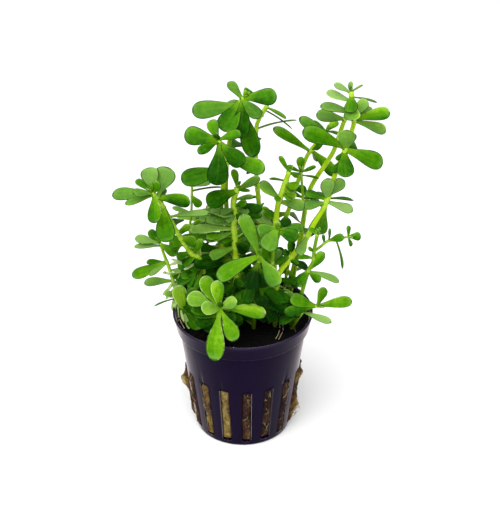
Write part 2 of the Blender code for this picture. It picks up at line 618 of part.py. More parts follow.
def build_tuft(name, slot, height, size):
    """Build a tuft of wool that pushes out through a slot."""
    angle = slot_angles()[slot]
    middle = ring_point(wall_radius(height) - GAP, angle, height)
    place = Matrix.Translation(middle) @ Matrix.Rotation(angle, 4, "Z")
    form = Matrix.Diagonal((size, TUFT_HALF_WIDTH, size * TUFT_STRETCH, 1.0))
    work = bmesh.new()
    bmesh.ops.create_icosphere(work, subdivisions=1, radius=1.0, matrix=place @ form)
    return finished_object(name, work, WOOL_FINISH.make())


def build_rockwool():
    """Build the plug of mineral wool, with the tufts that push out through three of the slots."""
    rings = []
    for height in PLUG_LEVELS:
        widest = wall_radius(height) - WALL - PLUG_CLEARANCE
        rings.append([ring_point(widest + min(0.0, lumps(direction, height)), direction, height)
                      for direction in directions(PLUG_SIDES)])
    plug = finished_object("rockwool_plug", skinned(rings), WOOL_FINISH.make())
    tufts = [build_tuft("tuft_%d" % slot, slot, height, size) for slot, height, size in TUFTS]
    apply_boolean(plug, tufts, "UNION")
    return plug


def soil_height(radius, direction):
    """Return the height of the soil's uneven top, calmer towards the rim."""
    rough = 0.15 + 0.4 * (1.0 - radius / SOIL_RADIUS)
    wave = math.sin(3.0 * direction + radius) + math.sin(5.0 * direction + 0.5 * radius)
    return SOIL_TOP + 0.6 + rough * wave


def build_soil(stubs):
    """Build the soil as a lumpy disc that fills the pot's mouth, with a hole for each stem."""
    throat = wall_radius(SHOULDER_HEIGHT) - WALL - 0.5
    outline = (
        (wall_radius(SOIL_FOOT) - WALL - 0.6, SOIL_FOOT),
        (throat, SHOULDER_HEIGHT + 0.7),
        (throat, SOIL_TOP),
        (SOIL_RADIUS, SOIL_TOP),
    )
    rings = [[ring_point(radius, direction, height) for direction in directions(SOIL_SIDES)]
             for radius, height in outline]
    for radius in SOIL_SHELF:
        rings.append([ring_point(radius, direction, soil_height(radius, direction))
                      for direction in directions(SOIL_SIDES)])
    soil = finished_object("soil", skinned(rings), SOIL_FINISH.make())
    apply_boolean(soil, stubs, "DIFFERENCE")
    return soil


def card_point(across, up):
    """Return the point of the sighting card at (across, up)."""
    lean = Vector((0.0, math.sin(CARD_LEAN), math.cos(CARD_LEAN)))
    return CARD_CENTRE + Vector((across, 0.0, 0.0)) + lean * up


def sighted(across, up, depth):
    """Return the point at a depth that is seen through (across, up) on the sighting card."""
    through = card_point(across, up)
    line = EYE - through
    share = (depth - through.y) / line.y
    return through + line * share


def stem_route(shoot):
    """Return a stem's points: down in the soil, at the soil's top, and then along its sight points."""
    foot = Vector((shoot.foot[0], shoot.foot[1], SOIL_TOP))
    return [foot - Vector((0.0, 0.0, PLANT_DEPTH)), foot] + [sighted(*place) for place in shoot.stem]


def tube(route, radii):
    """Sweep a polygon along a route, with a radius at each point, into a closed tube."""
    rings = []
    for index, point in enumerate(route):
        before = route[max(index - 1, 0)]
        after = route[min(index + 1, len(route) - 1)]
        along = (after - before).normalized()
        side = along.cross(Vector((0.0, 1.0, 0.0))).normalized()
        other = along.cross(side)
        rings.append([point + (side * math.cos(turn) + other * math.sin(turn)) * radii[index]
                      for turn in directions(STEM_SIDES)])
    return skinned(rings)


def stem_radii(route, thickness):
    """Return a stem's radius at each point of its route, thinner towards its tip."""
    last = len(route) - 1
    return [0.5 * thickness * (1.0 - STEM_TAPER * index / last) for index in range(len(route))]


def card_place(point):
    """Return the place (across, up) on the card through which a point is seen."""
    line = EYE - point
    square = Vector((0.0, math.cos(CARD_LEAN), -math.sin(CARD_LEAN)))
    seen = point + line * ((CARD_CENTRE - point).dot(square) / line.dot(square)) - CARD_CENTRE
    return seen.x, seen.y * math.sin(CARD_LEAN) + seen.z * math.cos(CARD_LEAN)


def nearest_on(route, place):
    """Return how near a route passes to a place on the card, the point there and the route's direction."""
    best = None
    for start, end in zip(route, route[1:]):
        for step in range(ROUTE_SAMPLES + 1):
            point = start.lerp(end, step / ROUTE_SAMPLES)
            miss = math.dist(card_place(point), place)
            if best is None or miss < best[0]:
                best = (miss, point, (end - start).normalized())
    return best


def blade_frame(base, tip, stem_direction, facing):
    """Return a leaf's length direction, its sideways direction and the direction its upper side faces."""
    along = (tip - base).normalized()
    to_eye = (EYE - base).normalized()
    face = stem_direction * (1.0 - abs(facing)) + to_eye * facing
    face = (face - along * face.dot(along)).normalized()
    return along, face.cross(along), face


def leaf_solid(leaf, base, tip, stem_direction, margin=0.0):
    """Build a leaf as a thin paddle: narrow at its base, widest past its middle, round at its tip.

    A margin thickens the blade and pushes its edge out, for testing what it clears.
    """
    along, side, face = blade_frame(base, tip, stem_direction, leaf.facing)
    length = (tip - base).length
    work = bmesh.new()
    rings = []
    for share, breadth in PIECE_STATIONS if leaf.name else SMALL_STATIONS:
        middle = base + along * (share * length) + face * (LEAF_ARCH * length * share * (1.0 - share))
        half = 0.5 * leaf.width * breadth + margin
        thick = 0.5 * LEAF_THICKNESS * (1.0 - LEAF_THINNING * share) + margin
        section = (side * half + face * 0.3 * thick, -side * half + face * 0.3 * thick, -face * thick)
        if leaf.name:
            section = (side * half, face * thick, -side * half, -face * thick)
        rings.append([work.verts.new(middle + offset) for offset in section])
    end = work.verts.new(tip + along * margin)
    corners = len(rings[0])
    for lower, upper in zip(rings, rings[1:]):
        for step in range(corners):
            following = (step + 1) % corners
            work.faces.new((lower[step], lower[following], upper[following], upper[step]))
    for step in range(corners):
        work.faces.new((rings[-1][step], rings[-1][(step + 1) % corners], end))
    work.faces.new(reversed(rings[0]))
    bmesh.ops.triangulate(work, faces=work.faces)
    return work


def tree_of(work):
    """Return a search tree of a bmesh and the corners of its box."""
    low = Vector([min(vert.co[axis] for vert in work.verts) for axis in range(3)])
    high = Vector([max(vert.co[axis] for vert in work.verts) for axis in range(3)])
    return BVHTree.FromBMesh(work), low, high


def touches(one, other):
    """Tell whether two search trees cross, after a first look at their boxes."""
    for axis in range(3):
        if one[1][axis] > other[2][axis] or other[1][axis] > one[2][axis]:
            return False
    return bool(one[0].overlap(other[0]))


def object_tree(thing):
    """Return the search tree of an object's mesh, in millimetres."""
    work = bmesh.new()
    work.from_mesh(thing.data)
    bmesh.ops.scale(work, vec=(1.0 / MM, 1.0 / MM, 1.0 / MM), verts=work.verts)
    tree = tree_of(work)
    work.free()
    return tree


def moves():
    """Return the ways to make room for a leaf, the least first, as (swing, retreat).

    A swing takes the tip along its sight line, and a retreat takes the base away from the stem.
    """
    found = []
    for step in range(-SWING_STEPS, SWING_STEPS + 1):
        for back in range(RETREAT_STEPS + 1):
            found.append((SWING_STEP * step, RETREAT_STEP * back))
    return sorted(found, key=lambda move: abs(move[0]) + RETREAT_COST * move[1])


def leaf_root(leaf, route, thickness):
    """Return a leaf's base on its stem and the stem's direction there, off the stem if it stands apart."""
    _, on_stem, direction = nearest_on(route, leaf.base)
    if not leaf.name:
        return on_stem, direction
    rough_tip = sighted(*leaf.tip, on_stem.y - leaf.forward)
    outward = rough_tip - on_stem
    outward = (outward - direction * outward.dot(direction)).normalized()
    return on_stem + outward * (0.5 * thickness + 0.5 * LEAF_THICKNESS + GAP), direction


def place_leaf(leaf, route, thickness, obstacles):
    """Build a leaf, swung along its tip's sight line until it clears its neighbours."""
    root, direction = leaf_root(leaf, route, thickness)
    for swing, retreat in moves():
        if retreat and not leaf.name:
            continue
        tip = sighted(*leaf.tip, root.y - leaf.forward - swing)
        base = root + (tip - root).normalized() * retreat
        trial = leaf_solid(leaf, base, tip, direction, margin=CLEARANCE)
        tree = tree_of(trial)
        trial.free()
        if not any(touches(tree, obstacle) for obstacle in obstacles):
            return leaf_solid(leaf, base, tip, direction), tree
    raise ValueError("no room for the leaf with its tip at %s" % (leaf.tip,))


def shoot_tubes(shoot, margin=0.0):
    """Return the stem's tube and its twigs' tubes, with the route of each."""
    route = stem_route(shoot)
    radii = [radius + margin for radius in stem_radii(route, shoot.thickness)]
    made = [(tube(route, radii), route)]
    for twig in shoot.twigs:
        places = [sighted(*place) for place in twig]
        made.append((tube(places, [TWIG_RADIUS + margin] * len(places)), places))
    return made


def stem_stub(shoot):
    """Return the cutter that makes a stem's hole in the soil, a gap wider than the stem."""
    route = stem_route(shoot)[:3]
    foot = route[0] - Vector((0.0, 0.0, GAP))
    top = route[1].lerp(route[2], 0.5)
    radius = 0.5 * shoot.thickness + GAP
    work = tube([foot, route[1], top], [radius] * 3)
    return finished_object("hole_" + shoot.name, work, SOIL_FINISH.make())


def build_plant(obstacles):
    """Build every shoot: its stem with the small leaves fused to it, and its large leaves beside it."""
    stem_material = STEM_FINISH.make()
    leaf_material = LEAF_FINISH.make()
    parts = {shoot.name: shoot_tubes(shoot) for shoot in SHOOTS}
    trees = {"pot and soil": obstacles}
    for shoot in SHOOTS:
        trees[shoot.name] = [tree_of(work) for work, _ in shoot_tubes(shoot, margin=CLEARANCE)]
    order = [(shoot, leaf) for shoot in SHOOTS for leaf in shoot.leaves if leaf.name]
    order += [(shoot, leaf) for shoot in SHOOTS for leaf in shoot.leaves if not leaf.name]
    small = {shoot.name: [] for shoot in SHOOTS}
    for shoot, leaf in order:
        owner = "" if leaf.name else shoot.name
        blocked = [tree for name, group in trees.items() if name != owner for tree in group]
        route = min((route for _, route in parts[shoot.name]), key=lambda way: nearest_on(way, leaf.base)[0])
        work, tree = place_leaf(leaf, route, shoot.thickness, blocked)
        if leaf.name:
            name = "leaf_%s_%s" % (shoot.name, leaf.name)
            finished_object(name, work, leaf_material)
            trees[name] = [tree]
        else:
            small[shoot.name].append(work)
            trees[shoot.name].append(tree)
    for shoot in SHOOTS:
        tubes = parts[shoot.name]
        stem = finished_object("stem_" + shoot.name, tubes[0][0], stem_material)
        joined = [work for work, _ in tubes[1:]] + small[shoot.name]
        pieces = [finished_object("%s_part_%d" % (shoot.name, index), work, stem_material)
                  for index, work in enumerate(joined)]
        apply_boolean(stem, pieces, "UNION")


def main():
    """Build the pot, its filling and the plant."""
    clear_scene()
    pot = build_pot()
    build_rockwool()
    soil = build_soil([stem_stub(shoot) for shoot in SHOOTS])
    build_plant([object_tree(pot), object_tree(soil)])


if __name__ == "__main__":
    main()
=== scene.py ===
"""A potted bacopa dressed around its CAD frame: net pot, mineral wool, soil and leafy upright shoots.

Lengths are in millimetres until a mesh is made. The pot stands on the origin, +Z is up, and the front of
the plant looks along -Y.

The shoots are laid out along sight lines. A flat card stands through the middle of the pot's rim,
square to the line of sight, and a place on it is (across, up) from the rim's middle. The point itself lies
where the sight line through that place meets the upright plane at a stated depth, which is the distance
behind the pot's axis, negative towards the front. The tip of a leaf that the frame has is read back from
its CAD node.
"""

import logging
import math
from collections.abc import Sequence
from dataclasses import dataclass
from enum import Enum

import bpy
import numpy as np
from numpy.typing import NDArray
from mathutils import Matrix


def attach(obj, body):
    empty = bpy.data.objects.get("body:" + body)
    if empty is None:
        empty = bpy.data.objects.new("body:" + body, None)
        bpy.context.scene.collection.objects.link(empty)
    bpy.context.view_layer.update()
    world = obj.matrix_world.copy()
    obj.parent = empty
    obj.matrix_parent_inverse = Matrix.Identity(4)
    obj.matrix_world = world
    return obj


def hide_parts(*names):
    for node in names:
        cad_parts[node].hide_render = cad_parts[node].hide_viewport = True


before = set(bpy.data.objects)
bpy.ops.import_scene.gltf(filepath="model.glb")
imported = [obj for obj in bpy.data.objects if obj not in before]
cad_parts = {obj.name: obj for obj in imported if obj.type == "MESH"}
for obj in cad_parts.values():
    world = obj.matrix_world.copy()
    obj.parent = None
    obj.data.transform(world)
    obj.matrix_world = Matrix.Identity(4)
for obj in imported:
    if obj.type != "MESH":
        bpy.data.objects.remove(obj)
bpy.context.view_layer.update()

Points = NDArray[np.float64]
Place = tuple[float, float]
Triple = tuple[float, float, float]
Colour = tuple[int, int, int]
Span = tuple[float, float]
Draw = np.random.Generator
Material = bpy.types.Material
Socket = bpy.types.NodeSocket

MM = 0.001
TURN = 2.0 * math.pi
UP = np.array((0.0, 0.0, 1.0))
ACROSS = np.array((1.0, 0.0, 0.0))

# Pot and filling, with lengths in millimetres and angles in radians
POT_HEIGHT = 50.0
BASE_RADIUS = 18.5
BASE_THICKNESS = 1.4
WALL = 1.1
SHOULDER_HEIGHT = 45.0
SHOULDER_RADIUS = 24.0
SLOT_COUNT = 16
SLOT_PITCH = TURN / SLOT_COUNT
SLOT_FOOT = 2.2
SLOT_HEAD = 27.2
SLOT_WIDTH = 3.7
FIRST_SLOT = math.radians(4.0 - 90.0)
PLUG_FOOT = 1.9
PLUG_TOP = 33.0
SOIL_TOP = 46.9
SOIL_RADIUS = 24.6
PLANT_DEPTH = 5.0

# Sighting card and camera, with lengths in millimetres
EYE = np.array((2.7, -337.7, 264.2))
CARD_CENTRE = np.array((0.0, 0.0, POT_HEIGHT))
CARD_LEAN = math.radians(30.0)
CARD_UP = np.array((0.0, math.sin(CARD_LEAN), math.cos(CARD_LEAN)))
CARD_NORMAL = np.array((0.0, math.cos(CARD_LEAN), -math.sin(CARD_LEAN)))
LENS_LENGTH = 72.7

# How far light spreads in the flesh of leaves and stems, with lengths in metres
FLESH = {"Subsurface_Weight": 0.15, "Subsurface_Scale": 0.0015}


class Slot(Enum):
    """The material slots that the record names."""

    POT = "pot_plastic"
    WOOL = "mineral_wool"
    SOIL = "soil"
    STEM = "stem"
    LEAF = "leaf"


@dataclass(frozen=True)
class Leaf:
    """A leaf as the photograph shows it.

    Its base and tip are places on the card, and forward says how far its tip comes towards the front. A
    facing of 0 keeps the blade square to its stem, and 1 turns it square to the sight line. Its tone runs
    from 0 for shaded green to 1 for yellow green: partly the leaf's own colour and partly painted shade and
    light, low for leaves that lie in shade. Grey mutes it, partly the leaf's bloom and partly a painted
    sheen, up to 2 for dry straw. A stalk is the share of its length that stays narrow. A name marks a piece
    of its own.
    """

    base: Place
    tip: Place
    forward: float
    width: float
    tone: float
    facing: float = 0.5
    name: str = ""
    grey: float = 0.0
    stalk: float = 0.0


@dataclass(frozen=True)
class Shoot:
    """A shoot: its foot in the soil, its stem's thickness, tone and course (across, up, depth), and leaves.

    The frame has its leaves, and leaves out the fine ones.
    """

    name: str
    foot: Place
    thickness: float
    tone: float
    stem: tuple[Triple, ...]
    leaves: tuple[Leaf, ...]
    fine: tuple[Leaf, ...] = ()
    twigs: tuple[tuple[Triple, ...], ...] = ()


SHOOTS: tuple[Shoot, ...] = (
    Shoot("tall_left", (-4.0, 2.0), 2.0, 0.6, stem=(
        (-4.0, 18.0, 2.0), (-6.1, 38.0, 2.0), (-6.2, 50.0, 2.0), (-5.5, 59.5, 2.0), (-3.6, 69.0, 1.0),
        (-1.4, 76.5, 0.0), (0.2, 79.0, 0.0),
    ), leaves=(
        Leaf((-0.5, 79.0), (-5.6, 84.8), -2.0, 4.5, 0.6, grey=0.2),
        Leaf((-1.8, 76.5), (-19.0, 73.9), 1.0, 6.3, 0.58, 0.6, "a", 0.1),
        Leaf((-1.8, 77.5), (-6.6, 76.5), -7.0, 3.5, 0.55, grey=0.5),
        Leaf((-1.0, 77.5), (-7.3, 66.4), 6.0, 7.4, 0.42, 0.6, "b"),
        Leaf((-0.6, 76.5), (4.3, 56.8), 5.0, 6.8, 0.52, 0.7, "c", -0.05),
        Leaf((1.0, 78.0), (12.8, 79.2), 1.0, 6.0, 0.44, 0.7, "d"),
        Leaf((0.6, 78.5), (2.7, 82.0), -4.0, 3.6, 0.45),
        Leaf((0.6, 77.8), (6.2, 71.2), 6.0, 5.2, 0.5, 0.7, grey=0.1),
        Leaf((-0.3, 77.6), (0.9, 72.7), 3.0, 3.2, 0.7, grey=0.3),
        Leaf((0.2, 79.0), (1.0, 81.8), 1.0, 1.6, 0.8),
        Leaf((-5.3, 60.0), (-1.5, 62.5), -10.0, 5.4, 0.35),
        Leaf((-6.2, 50.0), (-9.5, 53.0), -11.0, 5.4, 0.35),
    ), fine=(
        Leaf((-0.3, 79.2), (-1.6, 63.8), 6.5, 6.6, 0.32, 0.6),
    )),
    Shoot("back_left", (5.0, 9.0), 2.0, 0.85, stem=(
        (6.0, 20.0, 10.0), (6.1, 37.0, 11.0), (5.1, 50.0, 12.0), (5.0, 66.0, 12.0), (6.1, 71.0, 12.0),
        (9.1, 76.0, 12.0),
    ), leaves=(
        Leaf((5.9, 67.3), (20.3, 70.6), -1.0, 3.4, 0.45, -0.35, grey=0.5),
        Leaf((8.3, 74.3), (18.4, 67.3), 0.0, 2.4, 0.3, -0.3, grey=0.4),
        Leaf((8.7, 75.5), (16.2, 71.2), 2.0, 2.9, 0.7, 0.2, grey=0.1),
        Leaf((9.0, 76.0), (9.5, 79.5), -2.0, 2.0, 0.6),
        Leaf((5.5, 44.5), (4.0, 47.0), 2.0, 2.4, 0.7),
        Leaf((5.5, 42.0), (1.0, 41.5), 2.0, 2.2, 0.35),
        Leaf((6.1, 32.0), (13.5, 34.0), -7.0, 4.6, 0.25),
        Leaf((6.1, 32.0), (-1.0, 33.0), -7.0, 4.6, 0.45),
        Leaf((5.1, 54.0), (3.0, 51.0), -8.0, 4.6, 0.3),
        Leaf((5.0, 64.0), (4.0, 62.0), -11.0, 5.2, 0.3),
        Leaf((7.0, 72.8), (4.5, 71.5), -9.0, 5.0, 0.3),
    ), fine=(
        Leaf((6.1, 37.0), (11.3, 35.1), 3.0, 3.2, 0.15),
        Leaf((6.1, 34.0), (12.4, 34.0), 5.0, 2.0, 0.5, grey=0.3),
        Leaf((5.7, 31.4), (13.2, 32.5), 5.0, 3.4, 0.3),
        Leaf((5.7, 31.0), (0.1, 32.5), 4.0, 3.0, 0.25),
    )),
    Shoot("left_rosette", (-8.5, -3.0), 1.9, 0.7, stem=(
        (-7.7, 22.0, -3.5), (-8.1, 35.0, -3.5), (-7.4, 46.4, -6.0), (-6.2, 54.6, -9.5), (-7.4, 59.4, -12.0),
        (-9.2, 63.2, -13.0),
    ), leaves=(
        Leaf((-9.2, 63.0), (-21.9, 65.4), 0.0, 6.4, 0.5, 0.6, "a"),
        Leaf((-9.2, 63.2), (-11.8, 70.8), -4.0, 4.1, 0.55),
        Leaf((-9.0, 62.8), (-16.4, 57.9), 3.0, 4.2, 0.45),
        Leaf((-8.8, 62.5), (-9.6, 46.2), 6.0, 7.4, 0.22, 0.6, "b", stalk=0.1),
        Leaf((-8.6, 62.5), (0.1, 53.8), 2.0, 5.8, 0.38, 0.6, "c"),
        Leaf((-9.0, 63.0), (-0.6, 65.8), -1.0, 3.7, 0.55),
        Leaf((-6.4, 56.0), (8.3, 51.8), 3.0, 5.8, 0.66, 0.6, "d"),
        Leaf((-6.4, 52.4), (-23.1, 48.3), 1.0, 6.4, 0.4, 0.5, "e"),
        Leaf((-9.2, 63.2), (-9.8, 65.5), 2.0, 2.6, 0.15),
        Leaf((-6.3, 54.4), (-4.5, 54.5), -9.0, 5.0, 0.3),
    ), fine=(
        Leaf((-8.1, 25.8), (-23.1, 26.9), 1.0, 3.4, 0.62),
        Leaf((-8.1, 22.1), (-17.5, 23.2), 1.0, 3.6, 0.4),
        Leaf((-8.1, 32.5), (-16.7, 34.0), 1.0, 3.0, 0.6, grey=0.35),
        Leaf((-7.7, 17.6), (-20.4, 15.3), 1.0, 5.0, 0.18),
    )),
    Shoot("thin_left", (-13.0, 5.0), 1.2, 0.6, stem=(
        (-17.5, 12.0, 6.0), (-19.7, 27.7, 8.0), (-19.2, 37.0, 9.0), (-19.0, 46.5, 10.0),
    ), leaves=(
        Leaf((-19.0, 42.2), (-16.0, 38.1), 3.0, 3.3, 0.55),
        Leaf((-19.0, 44.0), (-6.8, 45.5), -3.0, 4.0, 0.5, -0.2, grey=0.4),
        Leaf((-19.0, 45.8), (-12.0, 47.2), 0.0, 2.6, 0.5, grey=0.4),
        Leaf((-19.0, 46.5), (-18.0, 50.0), -2.0, 2.0, 0.6),
        Leaf((-19.7, 30.0), (-14.5, 32.5), -6.0, 4.2, 0.5),
        Leaf((-19.7, 30.0), (-24.5, 27.5), -5.0, 4.2, 0.5),
    ), fine=(
        Leaf((-16.3, 10.1), (-23.4, 13.8), 4.0, 4.2, 0.42),
        Leaf((-14.8, 8.6), (-20.8, 6.4), 5.0, 3.0, 0.5),
        Leaf((-16.3, 12.3), (-17.5, 6.7), 6.0, 2.6, 0.5),
        Leaf((-15.6, 9.7), (-24.9, 8.2), 3.0, 4.0, 0.4),
        Leaf((-19.3, 35.9), (-12.2, 36.6), 0.0, 2.4, 0.5, grey=0.5),
        Leaf((-19.3, 35.9), (-26.4, 37.8), 1.0, 2.4, 0.5, grey=0.4),
    )),
    Shoot("far_left", (-12.5, -7.0), 2.0, 0.62, stem=(
        (-15.2, 16.4, -9.0), (-19.7, 21.3, -10.5), (-24.6, 28.8, -12.0), (-28.7, 36.3, -13.5),
        (-30.9, 40.0, -14.0), (-33.9, 43.5, -14.5),
    ), leaves=(
        Leaf((-33.5, 43.0), (-35.0, 53.0), -3.0, 6.4, 0.62, 0.6, "a", 0.4, 0.1),
        Leaf((-31.8, 41.0), (-27.9, 53.1), -3.0, 7.5, 0.54, 0.6, "b", 0.3, 0.15),
        Leaf((-33.7, 43.3), (-40.0, 48.3), -4.0, 2.6, 0.5),
        Leaf((-33.2, 42.6), (-48.9, 42.6), 0.0, 4.8, 0.58, 0.4, "c", 0.2),
        Leaf((-33.5, 43.0), (-41.0, 43.0), 5.0, 4.2, 0.6, grey=0.2),
        Leaf((-33.0, 42.5), (-44.0, 39.2), 3.0, 2.8, 0.6, grey=0.2),
        Leaf((-32.0, 41.6), (-19.7, 39.6), -1.0, 5.2, 0.38, 0.5, "d"),
        Leaf((-33.0, 42.4), (-32.8, 32.1), 6.0, 5.2, 0.55, 0.5, "e"),
        Leaf((-30.0, 38.5), (-27.9, 25.0), 7.0, 7.0, 0.58, 0.6, "f"),
        Leaf((-27.7, 34.5), (-12.6, 35.9), 0.0, 3.0, 0.7, 0.2, grey=0.6),
        Leaf((-33.9, 43.5), (-34.4, 46.8), 1.0, 2.2, 0.6),
        Leaf((-33.6, 43.2), (-31.5, 48.0), 1.0, 3.2, 0.55, 0.7),
        Leaf((-30.4, 39.2), (-30.5, 44.0), -9.0, 5.2, 0.35),
        Leaf((-26.0, 31.0), (-23.5, 33.5), -7.0, 4.4, 0.35),
    ), fine=(
        Leaf((-17.5, 19.1), (-24.2, 15.3), 1.0, 3.4, 0.5),
        Leaf((-16.0, 17.6), (-21.2, 22.1), 0.0, 3.2, 0.55),
        Leaf((-19.0, 20.6), (-14.8, 25.8), 0.0, 3.4, 0.52),
        Leaf((-21.9, 24.7), (-26.4, 21.3), 1.0, 3.0, 0.35),
        Leaf((-14.8, 15.3), (-24.9, 17.6), 2.0, 1.5, 0.9, grey=1.3),
        Leaf((-14.8, 13.8), (-23.4, 12.3), 3.0, 4.2, 0.4),
        Leaf((-14.8, 13.5), (-26.8, 18.7), 0.0, 1.2, 0.9, grey=1.5),
        Leaf((-16.0, 17.6), (-21.9, 14.6), 4.0, 1.3, 0.9, grey=1.4),
        Leaf((-24.2, 28.4), (-19.7, 31.0), 0.0, 3.0, 0.62),
        Leaf((-26.4, 32.5), (-28.7, 28.8), 2.0, 2.6, 0.6),
        Leaf((-16.0, 17.6), (-20.4, 7.5), 5.0, 2.4, 0.42),
        Leaf((-14.8, 16.1), (-17.8, 6.7), 6.0, 2.2, 0.5),
        Leaf((-14.8, 16.1), (-24.2, 9.3), 4.0, 3.8, 0.28),
        Leaf((-14.8, 13.8), (-21.2, 17.6), 2.0, 4.4, 0.2),
        Leaf((-19.7, 21.3), (-24.6, 18.7), 2.0, 3.4, 0.5),
        Leaf((-17.5, 19.1), (-22.3, 16.1), 3.0, 3.8, 0.38),
        Leaf((-16.0, 17.6), (-19.7, 14.2), 4.0, 3.6, 0.3),
        Leaf((-21.2, 24.3), (-27.5, 25.4), 0.0, 4.6, 0.6, 0.6),
        Leaf((-21.9, 24.7), (-26.4, 21.3), 1.0, 3.6, 0.5),
        Leaf((-23.1, 26.5), (-17.5, 24.3), -1.0, 4.2, 0.6, 0.6),
        Leaf((-24.2, 29.5), (-27.9, 30.7), -2.0, 4.0, 0.62, 0.6),
    )),
    Shoot("low_left", (-20.2, -2.0), 1.5, 0.75, stem=(
        (-23.8, 2.6, 1.0), (-25.6, 9.0, 4.5), (-27.9, 16.4, 7.0), (-29.4, 20.2, 8.0), (-30.9, 24.7, 8.0),
    ), leaves=(
        Leaf((-30.7, 24.5), (-40.3, 26.4), 1.0, 3.9, 0.72, grey=0.65),
        Leaf((-30.4, 23.6), (-40.6, 23.2), 3.0, 2.8, 0.75, grey=0.7),
        Leaf((-30.9, 24.7), (-35.0, 29.5), -2.0, 3.2, 0.3),
        Leaf((-30.6, 24.3), (-24.6, 20.2), 3.0, 4.5, 0.62),
        Leaf((-28.6, 17.8), (-41.4, 12.3), 1.0, 4.4, 0.58, 0.8),
        Leaf((-28.4, 17.4), (-36.0, 17.6), -3.0, 2.6, 0.5),
        Leaf((-28.2, 17.0), (-34.9, 12.4), 4.0, 3.2, 0.7, grey=0.5),
        Leaf((-26.0, 10.5), (-36.9, 9.7), 1.0, 3.5, 0.66, 0.8, grey=0.3),
        Leaf((-24.4, 5.5), (-29.5, 6.0), 2.0, 2.4, 0.95, 0.9, grey=0.5),
        Leaf((-24.0, 4.4), (-33.2, 1.0), 3.0, 1.6, 0.3, -0.2),
        Leaf((-20.2, 0.6), (-24.2, 9.0), 4.0, 5.4, 0.95, 0.8, "a"),
    ), fine=(
        Leaf((-24.9, 9.3), (-21.2, 13.1), 1.0, 3.0, 0.5),
        Leaf((-24.2, 6.4), (-20.4, 10.1), 2.0, 3.0, 0.55),
        Leaf((-27.9, 16.1), (-23.8, 17.6), 1.0, 1.6, 0.9, grey=1.6),
        Leaf((-25.7, 10.8), (-27.9, 7.1), 2.0, 1.4, 0.9, grey=1.4),
        Leaf((-24.2, 4.9), (-27.9, 4.5), 2.0, 2.0, 0.85, grey=0.9),
        Leaf((-23.4, 3.7), (-26.1, 0.7), 3.0, 1.6, 0.9, grey=1.3),
        Leaf((-26.4, 12.7), (-29.8, 13.8), -1.0, 1.2, 0.9, grey=1.7),
        Leaf((-23.8, 7.8), (-21.2, -1.9), 4.0, 5.0, 0.85),
        Leaf((-23.8, 3.4), (-19.0, -3.4), 5.0, 4.0, 0.4),
        Leaf((-24.2, 6.4), (-25.7, -1.1), 2.0, 2.2, 0.9, grey=0.8),
        Leaf((-23.8, 2.6), (-17.1, -4.9), 8.0, 5.4, 0.5, 0.8),
        Leaf((-23.8, 2.2), (-20.4, -4.5), 7.0, 4.6, 0.4, 0.8),
        Leaf((-23.8, 2.6), (-16.0, -1.1), 9.0, 4.6, 0.35, 0.7),
        Leaf((-26.4, 9.0), (-29.8, 5.2), 1.0, 1.6, 0.9, grey=1.0),
        Leaf((-26.4, 7.8), (-28.7, 3.7), 2.0, 1.3, 0.9, grey=1.2),
        Leaf((-27.2, 10.8), (-24.6, 7.1), 3.0, 1.6, 0.95, grey=0.8),
        Leaf((-24.2, 3.4), (-23.4, -3.4), 5.0, 1.4, 0.95, grey=1.0),
        Leaf((-23.1, 1.1), (-20.1, -7.5), 10.5, 1.5, 0.95, grey=0.9),
        Leaf((-24.9, 5.6), (-25.3, 0.0), 2.0, 1.3, 0.95, grey=1.2),
        Leaf((-23.1, 1.1), (-21.9, -4.9), 8.5, 1.0, 0.9, grey=1.4),
        Leaf((-21.2, 2.6), (-11.1, -6.0), 10.0, 6.4, 0.66, 0.7),
        Leaf((-20.8, 1.1), (-16.0, -7.8), 11.0, 5.0, 0.5, 0.7),
        Leaf((-26.8, 13.1), (-23.1, 11.6), 3.0, 3.4, 0.6),
        Leaf((-27.2, 14.6), (-22.7, 14.2), 1.0, 2.2, 0.8, grey=0.9),
    )),
    Shoot("left_fill", (-12.0, 11.0), 1.5, 0.4, stem=(
        (-14.5, 16.0, 15.0), (-16.0, 24.0, 17.5), (-17.0, 33.0, 20.0),
    ), leaves=(
        Leaf((-17.0, 33.0), (-24.5, 35.5), -3.0, 4.6, 0.6, grey=0.3),
        Leaf((-17.0, 33.0), (-10.5, 35.0), -4.0, 4.6, 0.6, grey=0.4),
        Leaf((-17.0, 33.0), (-17.5, 30.0), -10.0, 4.6, 0.55, grey=0.3),
        Leaf((-15.5, 20.0), (-24.5, 17.0), 2.0, 4.8, 0.35),
        Leaf((-15.5, 20.0), (-6.0, 19.0), -2.0, 5.4, 0.4),
        Leaf((-15.0, 18.0), (-17.5, 8.0), 8.0, 5.4, 0.35),
        Leaf((-15.3, 19.0), (-15.0, 18.0), -12.0, 5.0, 0.3),
        Leaf((-17.0, 33.0), (-17.2, 36.5), 0.0, 2.0, 0.6),
    )),
    Shoot("front", (-8.0, -13.0), 1.8, 0.7, stem=(
        (-8.4, -3.5, -16.0), (-8.5, 0.6, -18.0),
    ), leaves=(
        Leaf((-8.5, 0.4), (-10.7, -19.4), 13.0, 6.7, 0.78, 0.6, "a", stalk=0.12),
        Leaf((-8.5, 0.4), (-2.9, -12.0), 9.0, 5.6, 0.8, 0.6, "b", stalk=0.12),
        Leaf((-8.5, 0.4), (8.7, -1.9), 0.0, 5.9, 0.84, 0.6, "c", stalk=0.12),
        Leaf((-8.5, 0.6), (-2.1, 2.8), 2.0, 4.8, 0.82, 0.8, grey=0.25),
        Leaf((-8.5, 0.4), (-15.6, 0.4), 7.0, 4.9, 0.82, 0.8, grey=0.2),
        Leaf((-8.5, 0.6), (-20.8, 4.5), -1.0, 5.9, 0.84, 0.6, "d", 0.15, 0.25),
        Leaf((-8.5, 0.6), (-14.8, 12.3), -4.0, 5.8, 0.68, 0.7, "e"),
        Leaf((-8.5, 0.6), (-9.4, 10.8), -1.0, 5.0, 0.76, 0.7, "f"),
